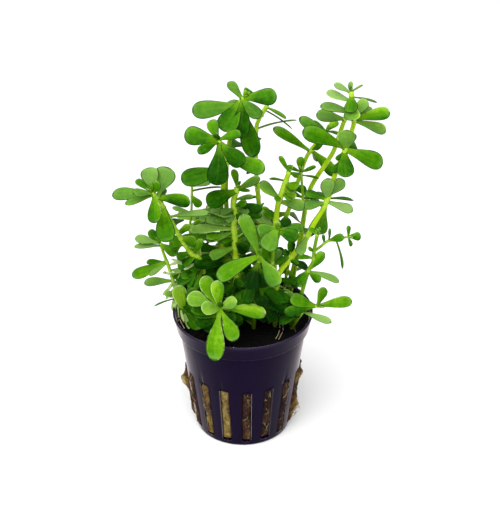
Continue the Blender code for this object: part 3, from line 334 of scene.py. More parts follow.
        Leaf((-8.4, -3.0), (-20.0, 6.5), -4.0, 4.6, 0.4),
        Leaf((-8.4, -3.4), (-12.0, -7.5), 4.0, 5.0, 0.12),
        Leaf((-8.5, 0.6), (-8.3, 2.6), 2.0, 2.2, 0.2),
    ), fine=(
        Leaf((-8.5, -3.0), (-18.6, -1.1), 1.0, 4.6, 0.3),
        Leaf((-8.5, -3.4), (-17.5, -4.9), 2.0, 4.6, 0.12),
        Leaf((-8.5, -3.0), (-2.5, -4.5), 2.0, 4.6, 0.1),
        Leaf((-8.5, -3.4), (-17.8, -5.2), 3.0, 5.6, 0.2),
        Leaf((-8.5, -4.1), (-14.5, -7.8), 4.0, 5.6, 0.1),
        Leaf((-8.1, -2.6), (0.1, -4.9), 1.0, 5.0, 0.12),
        Leaf((-8.5, -3.4), (-19.7, 0.4), 1.0, 5.0, 0.3),
    )),
    Shoot("centre", (-1.5, -4.0), 2.6, 0.75, stem=(
        (-2.5, 17.6, -5.0), (-3.3, 31.4, -5.0), (-2.6, 36.0, -5.0), (-3.5, 39.6, -5.0), (-2.1, 45.2, -5.0),
    ), leaves=(
        Leaf((-2.1, 45.2), (-3.6, 52.3), -3.0, 2.8, 0.6),
        Leaf((-2.2, 44.8), (6.5, 49.0), -1.0, 3.6, 0.55, grey=0.2),
        Leaf((-2.2, 44.8), (2.6, 44.0), 3.0, 2.0, 0.55),
        Leaf((-2.4, 44.0), (-13.3, 38.9), 3.0, 6.6, 0.32, 0.5, "a"),
        Leaf((-3.2, 29.9), (-19.7, 29.2), 2.0, 4.2, 0.86, grey=0.5),
        Leaf((-2.8, 35.0), (-13.3, 35.9), -1.0, 3.4, 0.7, -0.2, grey=0.6),
        Leaf((-2.7, 35.5), (-6.6, 36.2), 2.0, 1.8, 0.5),
        Leaf((-2.8, 23.0), (-12.6, 19.1), 3.0, 4.2, 0.75, grey=0.15),
        Leaf((-2.9, 25.0), (-8.9, 24.9), 2.0, 2.0, 0.6),
        Leaf((-3.4, 39.0), (7.2, 37.0), 1.0, 3.4, 0.2),
        Leaf((-2.0, 10.0), (5.0, 2.0), 4.0, 4.4, 0.3),
        Leaf((-2.0, 10.0), (-9.0, 7.0), 2.0, 4.6, 0.3),
    ), fine=(
        Leaf((-3.3, 35.5), (-13.7, 36.6), 1.0, 3.4, 0.4, grey=0.3),
        Leaf((-2.9, 35.9), (-8.1, 35.9), 3.0, 2.2, 0.5),
        Leaf((-3.3, 33.6), (-10.7, 32.9), 3.0, 2.2, 0.58, grey=0.2),
        Leaf((-3.3, 26.9), (-14.1, 26.9), 3.0, 3.6, 0.58),
        Leaf((-2.9, 25.8), (-7.7, 24.7), 4.0, 2.4, 0.5),
        Leaf((-2.9, 40.7), (4.2, 41.9), 1.0, 2.2, 0.45, grey=0.2),
        Leaf((-2.9, 35.5), (7.2, 34.8), 1.0, 3.2, 0.32),
        Leaf((-2.5, 17.6), (-17.5, 17.6), 4.0, 5.4, 0.1),
        Leaf((-2.5, 13.8), (-15.2, 13.1), 4.0, 5.0, 0.06),
        Leaf((-2.5, 12.7), (7.2, 13.5), 1.0, 3.4, 0.4),
        Leaf((-2.9, 34.0), (-12.2, 37.4), 2.0, 3.4, 0.65, grey=0.6),
        Leaf((-2.9, 34.8), (-8.9, 35.5), 4.0, 3.0, 0.55, grey=0.5),
        Leaf((-2.9, 26.9), (-13.7, 25.4), 3.0, 3.0, 0.5),
        Leaf((-2.9, 17.6), (-18.2, 16.1), 8.0, 6.4, 0.12),
        Leaf((-2.5, 15.3), (-15.2, 11.2), 6.0, 5.4, 0.12),
        Leaf((-2.5, 25.8), (1.6, 21.3), 2.0, 5.0, 0.05),
        Leaf((-2.5, 19.1), (3.5, 17.6), 1.0, 4.6, 0.02),
        Leaf((-2.9, 17.6), (2.7, 14.6), 1.0, 4.6, 0.14),
        Leaf((-2.9, 31.0), (-14.1, 33.6), 2.0, 3.6, 0.72, grey=0.5),
        Leaf((-2.9, 28.8), (-11.5, 25.8), 3.0, 3.2, 0.5, grey=0.2),
        Leaf((-2.9, 32.5), (2.7, 30.3), 0.0, 3.6, 0.4),
        Leaf((-3.3, 38.5), (1.6, 39.6), 3.0, 3.2, 0.4),
        Leaf((-3.3, 37.4), (-8.5, 35.9), 4.0, 3.0, 0.55, grey=0.3),
        Leaf((-3.3, 36.3), (0.1, 32.9), 4.0, 3.0, 0.35),
        Leaf((-3.3, 37.0), (2.4, 35.9), 3.0, 2.6, 0.5, grey=0.2),
        Leaf((-3.3, 35.5), (-6.2, 32.5), 4.0, 2.6, 0.5, grey=0.3),
        Leaf((-2.5, 9.3), (-5.1, 3.7), 6.0, 4.2, 0.3),
        Leaf((-2.5, 10.1), (0.1, 4.5), 5.0, 4.2, 0.2),
        Leaf((-2.5, 12.3), (-1.0, 7.8), 5.0, 4.0, 0.25),
    )),
    Shoot("centre_front", (4.0, -9.0), 1.8, 0.35, stem=(
        (5.0, 7.0, -11.0), (5.7, 14.6, -13.0), (6.1, 20.2, -14.5),
    ), leaves=(
        Leaf((6.1, 20.2), (-0.5, 35.4), -3.0, 5.6, 0.66, 0.7, "a", 0.1),
        Leaf((6.1, 20.0), (13.0, 8.4), 6.0, 5.8, 0.6, 0.6, "b", 0.1, 0.1),
        Leaf((6.0, 19.8), (-9.6, 11.2), 4.0, 6.2, 0.7, 0.6, "c"),
        Leaf((5.7, 15.0), (9.5, 11.5), 3.0, 2.6, 0.4),
        Leaf((5.4, 10.0), (15.0, 2.0), 3.0, 4.4, 0.3),
        Leaf((6.1, 20.2), (6.6, 22.4), 1.0, 2.0, 0.6),
    ), fine=(
        Leaf((5.3, 10.8), (8.7, 4.9), 2.0, 3.4, 0.5),
        Leaf((5.3, 9.0), (0.9, 12.3), -1.0, 4.6, 0.03),
        Leaf((5.3, 17.6), (2.4, 7.1), 5.0, 5.2, 0.02),
        Leaf((5.3, 16.1), (8.0, 7.8), 4.0, 5.0, 0.04),
        Leaf((5.3, 10.1), (0.9, 2.6), 4.0, 5.2, 0.05),
        Leaf((5.0, 9.3), (8.0, 1.1), 5.0, 5.4, 0.08),
        Leaf((5.0, 4.9), (17.7, 3.4), 3.0, 4.8, 0.3),
        Leaf((5.0, 6.4), (15.4, -0.7), 4.0, 4.6, 0.2),
        Leaf((4.6, 4.1), (12.4, -4.5), 5.0, 5.0, 0.14),
        Leaf((4.6, 4.9), (-1.8, -2.6), 3.0, 5.0, 0.08),
        Leaf((5.0, 9.3), (-4.4, 1.1), 3.0, 5.2, 0.42, 0.6),
        Leaf((5.3, 12.3), (1.2, 1.9), 5.0, 4.6, 0.3, 0.6),
    )),
    Shoot("round_leaf", (10.0, -5.0), 1.8, 0.5, stem=(
        (10.2, 8.0, -7.0), (11.0, 17.6, -9.5), (12.0, 25.8, -12.0), (12.8, 29.9, -13.0),
    ), leaves=(
        Leaf((12.8, 29.9), (5.4, 28.8), 2.0, 5.6, 0.55, 0.8, "a", 0.1),
        Leaf((12.8, 29.8), (8.3, 22.1), 5.0, 6.6, 0.68, 0.8, "b", 0.15),
        Leaf((12.7, 29.2), (20.7, 26.5), 2.0, 5.0, 0.4, 0.6),
        Leaf((12.8, 29.8), (22.9, 30.3), -2.0, 3.6, 0.5, grey=0.1),
        Leaf((12.8, 29.9), (17.7, 33.6), -3.0, 3.6, 0.12),
        Leaf((12.8, 29.9), (12.8, 32.6), 0.0, 1.8, 0.7),
        Leaf((10.4, 9.5), (3.5, 6.5), -1.0, 4.4, 0.3),
    ), fine=(
        Leaf((11.0, 17.6), (14.3, 22.4), 1.0, 2.8, 0.3, grey=0.2),
        Leaf((10.2, 7.8), (7.2, 1.9), 3.0, 3.0, 0.4),
        Leaf((10.2, 8.6), (16.6, 4.1), 2.0, 3.4, 0.3),
        Leaf((10.6, 4.9), (21.4, -3.0), 6.0, 4.8, 0.2),
        Leaf((10.6, 3.4), (7.2, -4.9), 7.0, 4.4, 0.1),
        Leaf((10.6, 4.9), (20.3, 1.1), 5.0, 4.6, 0.25),
        Leaf((11.3, 17.6), (6.5, 23.2), 0.0, 5.0, 0.45),
        Leaf((11.0, 15.3), (5.0, 17.6), 1.0, 4.4, 0.3),
    )),
    Shoot("mid_right", (11.5, -1.0), 2.5, 0.85, stem=(
        (11.7, 18.3, -1.0), (12.4, 32.5, -1.0), (13.2, 38.9, -1.0), (14.7, 43.7, -1.0), (17.3, 51.2, -1.0),
    ), leaves=(
        Leaf((15.8, 47.0), (20.7, 45.2), 3.0, 4.6, 0.72),
        Leaf((16.0, 47.8), (9.8, 48.6), 0.0, 3.0, 0.5, -0.1),
        Leaf((17.3, 51.2), (13.6, 57.2), -2.0, 2.4, 0.6),
        Leaf((17.2, 51.0), (20.6, 49.2), 2.0, 2.4, 0.5),
        Leaf((14.0, 41.3), (6.1, 47.1), 1.0, 4.6, 0.6, grey=0.25),
        Leaf((13.6, 40.0), (23.3, 38.1), 2.0, 4.8, 0.66, grey=0.35),
        Leaf((15.0, 44.6), (19.9, 41.9), 3.0, 2.4, 0.9),
        Leaf((12.5, 33.0), (8.0, 36.5), -3.0, 3.0, 0.5),
        Leaf((17.3, 51.2), (18.0, 54.0), -1.0, 1.8, 0.7),
    ), fine=(
        Leaf((11.3, 11.6), (20.3, 9.7), 1.0, 2.8, 0.4),
        Leaf((11.3, 7.1), (7.2, 2.2), 4.0, 3.6, 0.4),
        Leaf((11.3, 7.8), (21.4, 1.1), 1.0, 4.6, 0.2),
        Leaf((16.2, 45.6), (19.2, 43.4), 3.0, 3.0, 0.85),
        Leaf((15.4, 43.4), (18.4, 41.1), 3.0, 3.2, 0.75),
        Leaf((15.1, 42.2), (12.4, 40.4), 3.0, 2.4, 0.6),
    )),
    Shoot("thin_right", (17.0, 4.0), 1.3, 0.6, stem=(
        (20.2, 17.6, 4.0), (22.4, 27.7, 5.0), (22.9, 35.1, 5.0), (22.5, 41.9, 5.0), (21.8, 51.2, 5.0),
    ), leaves=(
        Leaf((21.8, 51.2), (21.8, 57.0), -1.0, 3.0, 0.55),
        Leaf((21.8, 51.2), (27.4, 53.3), 0.0, 2.2, 0.5),
        Leaf((21.8, 51.0), (16.6, 53.5), 0.0, 2.0, 0.5),
        Leaf((21.8, 50.8), (17.7, 50.4), 3.0, 2.0, 0.5),
        Leaf((21.9, 50.0), (28.5, 48.8), 1.0, 1.8, 0.5, 0.1),
        Leaf((22.5, 41.5), (28.4, 42.2), 1.0, 2.8, 0.45),
        Leaf((22.5, 41.5), (17.8, 43.4), 1.0, 2.4, 0.5),
    )),
    Shoot("tall_right", (12.0, -7.5), 2.1, 0.9, stem=(
        (13.0, 11.0, -7.5), (17.3, 18.3, -7.5), (23.3, 25.8, -7.5), (27.0, 32.5, -7.5), (31.1, 39.6, -7.0),
        (34.1, 49.0, -7.0), (38.2, 59.4, -6.0), (40.9, 67.0, -6.0), (41.6, 71.4, -6.0), (40.5, 81.2, -6.0),
    ), leaves=(
        Leaf((38.0, 60.2), (22.2, 66.5), 2.0, 6.2, 0.52, 0.6, "a"),
        Leaf((38.2, 60.4), (38.9, 67.1), 5.0, 6.6, 0.6, 0.8, "b", 0.25),
        Leaf((38.4, 59.6), (52.3, 53.9), 1.0, 6.4, 0.62, 0.7, "c"),
        Leaf((38.0, 59.0), (38.6, 49.2), 5.0, 5.9, 0.5, 0.7, "d"),
        Leaf((36.8, 55.5), (33.6, 51.0), 2.0, 2.6, 0.5),
        Leaf((37.8, 59.0), (34.9, 55.7), 1.0, 1.8, 0.5),
        Leaf((31.2, 40.2), (41.2, 36.6), 2.0, 4.2, 0.7, grey=0.9),
        Leaf((31.6, 41.5), (41.4, 40.6), -3.0, 3.4, 0.5, -0.2),
        Leaf((30.6, 38.6), (27.4, 28.0), -3.0, 7.0, 0.55, 0.6, "e"),
        Leaf((31.0, 39.4), (22.9, 38.5), 1.0, 3.8, 0.42, grey=0.2),
        Leaf((31.6, 41.5), (31.9, 49.0), 3.0, 5.2, 0.55, 0.7, "f", grey=0.45),
        Leaf((31.9, 42.5), (38.0, 48.2), 1.0, 4.4, 0.52, 0.7, grey=0.4),
        Leaf((31.4, 41.0), (23.3, 43.4), -2.0, 3.2, 0.35),
        Leaf((31.8, 42.2), (30.6, 46.0), 4.0, 2.2, 0.5),
        Leaf((24.5, 27.6), (20.7, 20.2), 5.0, 3.6, 0.65, grey=0.4),
        Leaf((18.2, 19.5), (11.3, 17.6), 1.0, 3.2, 0.4),
        Leaf((17.6, 18.6), (20.6, 16.6), 3.0, 2.4, 0.45),
        Leaf((40.6, 80.8), (34.1, 84.1), 1.0, 2.4, 0.7, grey=0.8),
        Leaf((40.5, 81.2), (45.0, 83.8), -1.0, 1.4, 0.4, 0.2, grey=0.6),
        Leaf((40.8, 77.6), (31.2, 81.0), 1.0, 3.3, 0.75, grey=0.9),
        Leaf((40.8, 79.0), (50.2, 77.2), 0.0, 1.4, 0.15, 0.1, grey=0.3),
        Leaf((40.7, 79.6), (40.3, 73.4), 4.0, 4.6, 0.64, 0.8),
        Leaf((41.4, 73.0), (28.9, 75.9), -1.0, 4.0, 0.56, grey=0.4),
        Leaf((41.5, 72.5), (46.4, 78.2), 1.0, 4.0, 0.75, 0.8, grey=0.4),
        Leaf((41.2, 76.0), (40.9, 70.4), 5.0, 5.6, 0.68, 0.8, grey=0.2),
        Leaf((41.6, 72.6), (48.3, 75.2), -3.0, 2.6, 0.7, grey=0.3),
        Leaf((41.6, 71.2), (55.1, 73.6), -1.0, 4.8, 0.65, 0.6, "g"),
        Leaf((41.5, 70.6), (53.6, 66.5), 2.0, 4.0, 0.7, 0.6, grey=0.3),
        Leaf((40.5, 81.2), (40.4, 85.2), 0.0, 1.6, 0.8, grey=0.6),
        Leaf((38.2, 59.4), (36.5, 62.5), -11.0, 5.4, 0.35),
        Leaf((31.2, 40.2), (30.0, 43.5), -10.0, 5.4, 0.35),
        Leaf((23.3, 26.0), (25.5, 29.5), -9.0, 4.6, 0.35),
        Leaf((41.6, 71.6), (43.5, 73.2), -9.0, 4.4, 0.35),
    )),
    Shoot("pale_back", (14.5, 8.0), 2.1, 0.85, stem=(
        (17.7, 10.0, 9.0), (21.4, 25.8, 10.0), (23.5, 38.0, 9.5), (25.7, 46.0, 8.0), (31.5, 55.0, 5.0),
        (34.1, 59.4, 4.0), (36.7, 66.9, 2.0), (38.4, 71.5, 1.0),
    ), leaves=(
        Leaf((35.0, 62.0), (21.0, 71.4), -1.0, 5.0, 0.46, 0.5, "a", 0.1),
        Leaf((38.2, 71.0), (27.4, 72.5), 2.0, 4.6, 0.58, grey=0.3),
        Leaf((38.4, 71.5), (42.0, 76.0), -5.0, 3.2, 0.6),
        Leaf((35.0, 62.0), (42.5, 61.0), -6.0, 4.6, 0.48),
        Leaf((24.5, 42.0), (29.5, 38.5), -8.0, 4.8, 0.35),
        Leaf((24.5, 42.0), (20.0, 46.0), -7.0, 4.4, 0.35),
    ), fine=(
        Leaf((18.8, 13.8), (23.7, 16.1), 2.0, 2.0, 0.95, grey=1.2),
        Leaf((18.1, 11.6), (15.1, 15.3), 2.0, 1.6, 0.9, grey=1.5),
        Leaf((17.7, 10.1), (22.2, 8.2), 2.0, 1.6, 0.9, grey=1.2),
    )),
    Shoot("far_back", (7.0, 14.0), 2.0, 0.8, stem=(
        (12.0, 24.0, 17.0), (17.5, 38.0, 18.0), (22.9, 54.6, 19.0), (25.9, 59.8, 19.0), (31.1, 66.5, 19.0),
    ), leaves=(
        Leaf((25.3, 59.0), (11.3, 67.7), 0.0, 4.2, 0.55),
        Leaf((25.9, 59.8), (29.9, 61.4), 3.0, 4.2, 0.4),
        Leaf((25.7, 59.4), (34.5, 50.1), 2.0, 5.0, 0.55, 0.6),
        Leaf((31.1, 66.5), (35.4, 70.6), -2.0, 3.2, 0.8),
        Leaf((31.1, 66.5), (26.3, 70.5), -2.0, 2.4, 0.6, 0.1),
        Leaf((31.1, 66.3), (36.4, 65.2), -1.0, 2.2, 0.5, 0.1),
        Leaf((25.9, 59.8), (26.5, 56.0), -9.0, 4.6, 0.35),
        Leaf((16.5, 36.0), (8.5, 33.0), -4.0, 5.0, 0.25),
        Leaf((16.5, 36.0), (21.0, 33.0), -8.0, 5.0, 0.25),
        Leaf((12.0, 24.0), (13.0, 20.0), -10.0, 5.0, 0.25),
    )),
    Shoot("back_fill", (-2.0, 14.0), 1.6, 0.4, stem=(
        (-2.0, 14.0, 18.0), (0.0, 24.0, 21.0), (3.0, 35.0, 23.0),
    ), leaves=(
        Leaf((3.0, 35.0), (-4.0, 37.5), -3.0, 4.8, 0.55, grey=0.3),
        Leaf((3.0, 35.0), (10.5, 36.5), -4.0, 4.8, 0.45),
        Leaf((3.0, 35.0), (3.5, 31.5), -10.0, 5.0, 0.3),
        Leaf((-0.5, 22.0), (-10.5, 23.5), -3.0, 5.2, 0.5, grey=0.2),
        Leaf((-0.5, 22.0), (9.5, 24.5), -3.0, 5.2, 0.42),
        Leaf((-1.5, 17.0), (-3.0, 11.0), -11.0, 5.2, 0.3),
        Leaf((3.0, 35.0), (3.4, 38.5), -1.0, 2.2, 0.5),
    )),
    Shoot("right", (17.5, -7.0), 1.7, 0.45, stem=(
        (20.7, 1.5, -10.0), (24.4, 13.8, -13.0), (26.3, 17.6, -13.5), (26.7, 22.0, -14.0),
        (27.9, 27.9, -15.0),
    ), leaves=(
        Leaf((26.7, 21.4), (24.4, 22.8), 1.0, 1.8, 0.55),
        Leaf((24.8, 14.6), (30.4, 21.3), 1.0, 3.6, 0.55),
        Leaf((24.6, 14.2), (28.9, 10.1), 3.0, 3.2, 0.5),
        Leaf((24.6, 14.2), (36.0, 10.1), 1.0, 3.0, 0.75, grey=0.6),
        Leaf((24.6, 14.4), (20.7, 9.3), 2.0, 3.8, 0.4),
        Leaf((26.4, 19.0), (20.3, 19.4), -1.0, 2.4, 0.55),
        Leaf((27.9, 27.9), (24.6, 30.0), -2.0, 2.4, 0.6),
        Leaf((32.3, 25.6), (37.9, 26.9), 1.0, 3.0, 0.5),
        Leaf((32.3, 25.6), (32.3, 30.1), 1.0, 1.8, 0.5),
        Leaf((30.6, 24.4), (29.8, 27.8), 0.0, 1.6, 0.5),
        Leaf((34.5, 25.8), (37.3, 15.0), 2.0, 2.0, 0.5, 0.3),
        Leaf((39.4, 27.0), (39.4, 31.2), -1.0, 2.0, 0.5),
        Leaf((39.4, 27.0), (44.2, 27.1), 0.0, 3.0, 0.5),
        Leaf((39.4, 27.0), (40.6, 23.4), 1.0, 2.0, 0.5),
    ), twigs=(
        ((26.7, 21.6, -14.0), (28.9, 23.2, -14.5), (32.3, 25.6, -15.0), (39.4, 27.0, -15.0)),
    )),
    Shoot("dark", (14.5, 0.5), 1.3, 0.2, stem=(
        (16.0, 11.0, 1.0), (17.7, 19.1, 1.5),
    ), leaves=(
        Leaf((17.7, 19.1), (18.4, 25.8), -1.0, 3.0, 0.2),
        Leaf((17.7, 19.1), (15.0, 21.9), 1.0, 2.6, 0.2),
        Leaf((17.6, 18.6), (13.0, 23.0), -3.0, 2.6, 0.2),
        Leaf((17.5, 18.0), (24.5, 15.0), -3.0, 4.2, 0.2),
        Leaf((16.6, 14.0), (12.0, 12.0), -5.0, 4.2, 0.2),
    ), fine=(
        Leaf((16.9, 14.6), (20.3, 7.8), 2.0, 3.4, 0.35),
        Leaf((16.9, 12.7), (13.9, 17.6), 0.0, 3.2, 0.2),
    )),
    Shoot("low_right", (18.0, -9.5), 1.4, 0.5, stem=(
        (22.0, -1.5, -11.5), (24.8, 0.8, -12.5), (27.8, 1.1, -13.5),
    ), leaves=(
        Leaf((27.8, 1.1), (30.4, 8.2), -3.0, 3.8, 0.6),
        Leaf((27.8, 1.1), (40.9, 3.0), -1.0, 4.2, 0.8, 0.6, "a"),
        Leaf((27.4, 1.1), (17.7, 4.5), 0.0, 5.0, 0.5),
        Leaf((27.4, 1.1), (15.4, -1.5), 2.0, 4.0, 0.42),
        Leaf((22.6, -1.0), (33.2, -4.9), 3.5, 2.8, 0.75, 0.6, grey=0.8),
    ), fine=(
        Leaf((21.4, -1.1), (7.2, 2.2), 1.0, 3.8, 0.38),
        Leaf((20.7, -1.9), (14.3, 3.4), 0.0, 3.4, 0.2),
        Leaf((21.4, -1.1), (13.2, -4.9), 2.0, 4.4, 0.15),
    )),
)


def unit(vectors: Points) -> Points:
    """Return vectors scaled to a length of 1."""
    return vectors / np.linalg.norm(vectors, axis=-1, keepdims=True)


def smoothstep(share: Points) -> Points:
    """Return 3s² - 2s³ of a share held between 0 and 1."""
    held = np.clip(share, 0.0, 1.0)
    return held * held * (3.0 - 2.0 * held)


def sight_line(across: float, up: float) -> tuple[Points, Points]:
    """Return the point of a place on the card, and the way from there to the eye."""
    through = CARD_CENTRE + across * ACROSS + up * CARD_UP
    return through, EYE - through


def sighted(across: float, up: float, depth: float) -> Points:
    """Return the point at a depth behind the pot's axis that is seen through a place on the card."""
    through, line = sight_line(across, up)
    return through + line * ((depth - through[1]) / line[1])


def sighted_level(across: float, up: float, height: float) -> Points:
    """Return the point at a height above the ground that is seen through a place on the card."""
    through, line = sight_line(across, up)
    return through + line * ((height - through[2]) / line[2])


def card_places(points: Points) -> Points:
    """Return the (across, up) places through which points are seen.

    Args:
        points: Points, one a row.

    Returns:
        Their places on the card, one a row: each sight line is cut with the card's plane.
    """
    lines = EYE - points
    share = ((CARD_CENTRE - points) @ CARD_NORMAL) / (lines @ CARD_NORMAL)
    crossing = points + lines * share[:, None] - CARD_CENTRE
    return np.column_stack((crossing @ ACROSS, crossing @ CARD_UP))


def wall_radius(height: Points | float) -> Points | float:
    """Return the pot wall's outer radius at a height, on its straight taper."""
    return BASE_RADIUS + (SHOULDER_RADIUS - BASE_RADIUS) * height / SHOULDER_HEIGHT


def on_wall(heights: Sequence[float], inset: float = 0.0) -> list[Span]:
    """Return (radius, height) rows on the pot's taper, or inside it by an inset."""
    return [(wall_radius(height) - inset, height) for height in heights]


def around_axis(radius: Points | float, angle: Points, height: Points | float) -> Points:
    """Return points at a distance from the pot's axis, in a direction and at a height."""
    return np.stack(np.broadcast_arrays(radius * np.cos(angle), radius * np.sin(angle), height), -1)


def off_slot(angle: Points, slot: int) -> Points:
    """Return the angle from a slot's middle, between minus and plus half a turn."""
    return (angle - FIRST_SLOT - slot * SLOT_PITCH + math.pi) % TURN - math.pi


def distances_along(route: Points) -> Points:
    """Return how far along a route each of its points lies."""
    return np.concatenate(([0.0], np.cumsum(np.linalg.norm(np.diff(route, axis=0), axis=1))))


def ripples(first: Points, second: Points, seed: int, finest: float, waves: int = 18) -> Points:
    """Return an uneven swell over two coordinates, about 1 high.

    It is a sum of plane waves in random directions, from a twelfth of the finest frequency up to it, and
    each is lower the finer it is: (coarsest / frequency)^0.6.

    Args:
        first: First coordinate.
        second: Second coordinate.
        seed: Seed of the waves' directions and phases.
        finest: Highest frequency, in turns a unit of length times 2 pi.
        waves: Number of waves.

    Returns:
        The swell's height at each place.
    """
    draw = np.random.default_rng(seed)
    total = np.zeros(np.broadcast(first, second).shape)
    coarsest = finest / 12.0
    for frequency in np.geomspace(coarsest, finest, waves):
        heading = draw.uniform(0.0, TURN)
        phase = draw.uniform(0.0, TURN)
        wave = np.sin(frequency * (first * math.cos(heading) + second * math.sin(heading)) + phase)
        total += wave * (coarsest / frequency) ** 0.6
    return total / math.sqrt(waves)


@dataclass(frozen=True)
class Surface:
    """A mesh in the making: points, the corners of its faces, and named values at the points."""

    points: Points
    faces: NDArray[np.int64] | list[list[int]]
    values: dict[str, Points]


def joined(surfaces: Sequence[Surface]) -> Surface:
    """Put several surfaces together.

    Args:
        surfaces: The surfaces.

    Returns:
        One surface, with the values that the first one names.
    """
    starts = np.cumsum([0] + [len(one.points) for one in surfaces[:-1]])
    values = {name: np.concatenate([one.values[name] for one in surfaces]) for name in surfaces[0].values}
    faces = [one.faces + start for one, start in zip(surfaces, starts)]
    return Surface(np.vstack([one.points for one in surfaces]), np.vstack(faces), values)


def closed_skin(rings: Points, start: Points, end: Points, values: dict[str, Points]) -> Surface:
    """Join rings of points into a closed skin with a pole at each end.

    Args:
        rings: Points as rows of rings, shaped (rows, around, 3).
        start: Pole before the first ring.
        end: Pole after the last ring.
        values: Named values of the rings' points, shaped (rows, around).

    Returns:
        The closed surface, faces outwards.
    """
    rows, around = rings.shape[:2]
    step = np.arange(around)
    after = (step + 1) % around
    row = 1 + around * np.arange(rows - 1)[:, None]
    low, low_after = row + step, row + after
    high, high_after = low + around, low_after + around
    sides = [np.stack((low, low_after, high_after), -1), np.stack((low, high_after, high), -1)]
    last = 1 + around * (rows - 1)
    tip = np.full(around, last + around)
    fans = [np.stack((np.zeros_like(step), 1 + after, 1 + step), -1),
            np.stack((tip, last + step, last + after), -1)]
    triangles = np.vstack([part.reshape(-1, 3) for part in sides + fans])
    points = np.vstack((start[None], rings.reshape(-1, 3), end[None]))
    corners = points[triangles]
    volume = np.einsum("ij,ij->", corners[:, 0], np.cross(corners[:, 1], corners[:, 2]))
    if volume < 0.0:
        triangles = triangles[:, ::-1]
    spread = {}
    for name, grid in values.items():
        full = np.broadcast_to(grid, (rows, around))
        spread[name] = np.concatenate(([full[0].mean()], full.ravel(), [full[-1].mean()]))
    return Surface(points, triangles, spread)


def smooth_route(points: Points, spacing: float, cuts: int = 12) -> Points:
    """Carry a Catmull-Rom curve through points and cut it into even steps.

    Args:
        points: Points that the route passes, one a row.
        spacing: Distance between the new points.
        cuts: Points of the curve between two given ones, before it is cut into even steps.

    Returns:
        The new points, one a row.
    """
    padded = np.vstack((2.0 * points[0] - points[1], points, 2.0 * points[-1] - points[-2]))
    spans = len(points) - 1
    before, start, end, after = (padded[shift:spans + shift, None, :] for shift in range(4))
    share = np.linspace(0.0, 1.0, cuts, endpoint=False)[None, :, None]
    curve = 2.0 * start + (end - before) * share
    curve = curve + (2.0 * before - 5.0 * start + 4.0 * end - after) * share**2
    curve = 0.5 * (curve + (3.0 * start - 3.0 * end + after - before) * share**3)
    dense = np.vstack((curve.reshape(-1, 3), points[-1]))
    reach = distances_along(dense)
    at = np.linspace(0.0, reach[-1], max(int(reach[-1] / spacing), 3) + 1)
    return np.column_stack([np.interp(at, reach, dense[:, axis]) for axis in range(3)])


def tube(route: Points, radii: Points, around: int, values: dict[str, Points]) -> Surface:
    """Carry a circle along a route: ring = centre + radius * (side * cos + other * sin).

    Args:
        route: Centres, one a row.
        radii: Radius at each centre.
        around: Points in each ring.
        values: Named values, one for each centre.

    Returns:
        The closed tube, with a pole half a radius past each end.
    """
    along = unit(np.gradient(route, axis=0))
    whole = np.abs(route[-1] - route[0])
    side = unit(np.cross(along, np.eye(3)[int(np.argmin(whole))]))
    other = np.cross(along, side)
    turn = TURN * np.arange(around) / around
    reach = side[:, None] * np.cos(turn)[:, None] + other[:, None] * np.sin(turn)[:, None]
    rings = route[:, None] + reach * radii[:, None, None]
    grids = {name: value[:, None] for name, value in values.items()}
    start = route[0] - along[0] * radii[0] * 0.5
    end = route[-1] + along[-1] * radii[-1] * 0.5
    return closed_skin(rings, start, end, grids)


def make_piece(name: str, surface: Surface, material: Material,
               nodes: Sequence[str]) -> bpy.types.Object:
    """Turn a surface into an object in metres that rides on the frame and stands for CAD nodes.

    Args:
        name: The piece's name.
        surface: Its surface, in millimetres.
        material: Its material.
        nodes: The CAD nodes that it stands for.

    Returns:
        The new object.
    """
    faces = surface.faces if isinstance(surface.faces, list) else surface.faces.tolist()
    mesh = bpy.data.meshes.new(name)
    mesh.from_pydata((surface.points * MM).tolist(), [], faces)
    for key, value in surface.values.items():
        layer = mesh.attributes.new(key, "FLOAT", "POINT")
        layer.data.foreach_set("value", value.astype(np.float32))
    mesh.materials.append(material)
    mesh.shade_smooth()
    thing = bpy.data.objects.new(name, mesh)
    bpy.context.scene.collection.objects.link(thing)
    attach(thing, "root")
    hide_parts(*nodes)
    logging.info("%s: %d faces", thing.name, len(thing.data.polygons))
    return thing


def linear(colour: Colour) -> tuple[float, float, float, float]:
    """Turn an sRGB colour into linear light.

    Args:
        colour: Red, green and blue in bytes.

    Returns:
        Red, green, blue and an alpha of 1.
    """
    shares = [byte / 255.0 for byte in colour]
    light = [share / 12.92 if share < 0.04045 else ((share + 0.055) / 1.055) ** 2.4 for share in shares]
    return light[0], light[1], light[2], 1.0


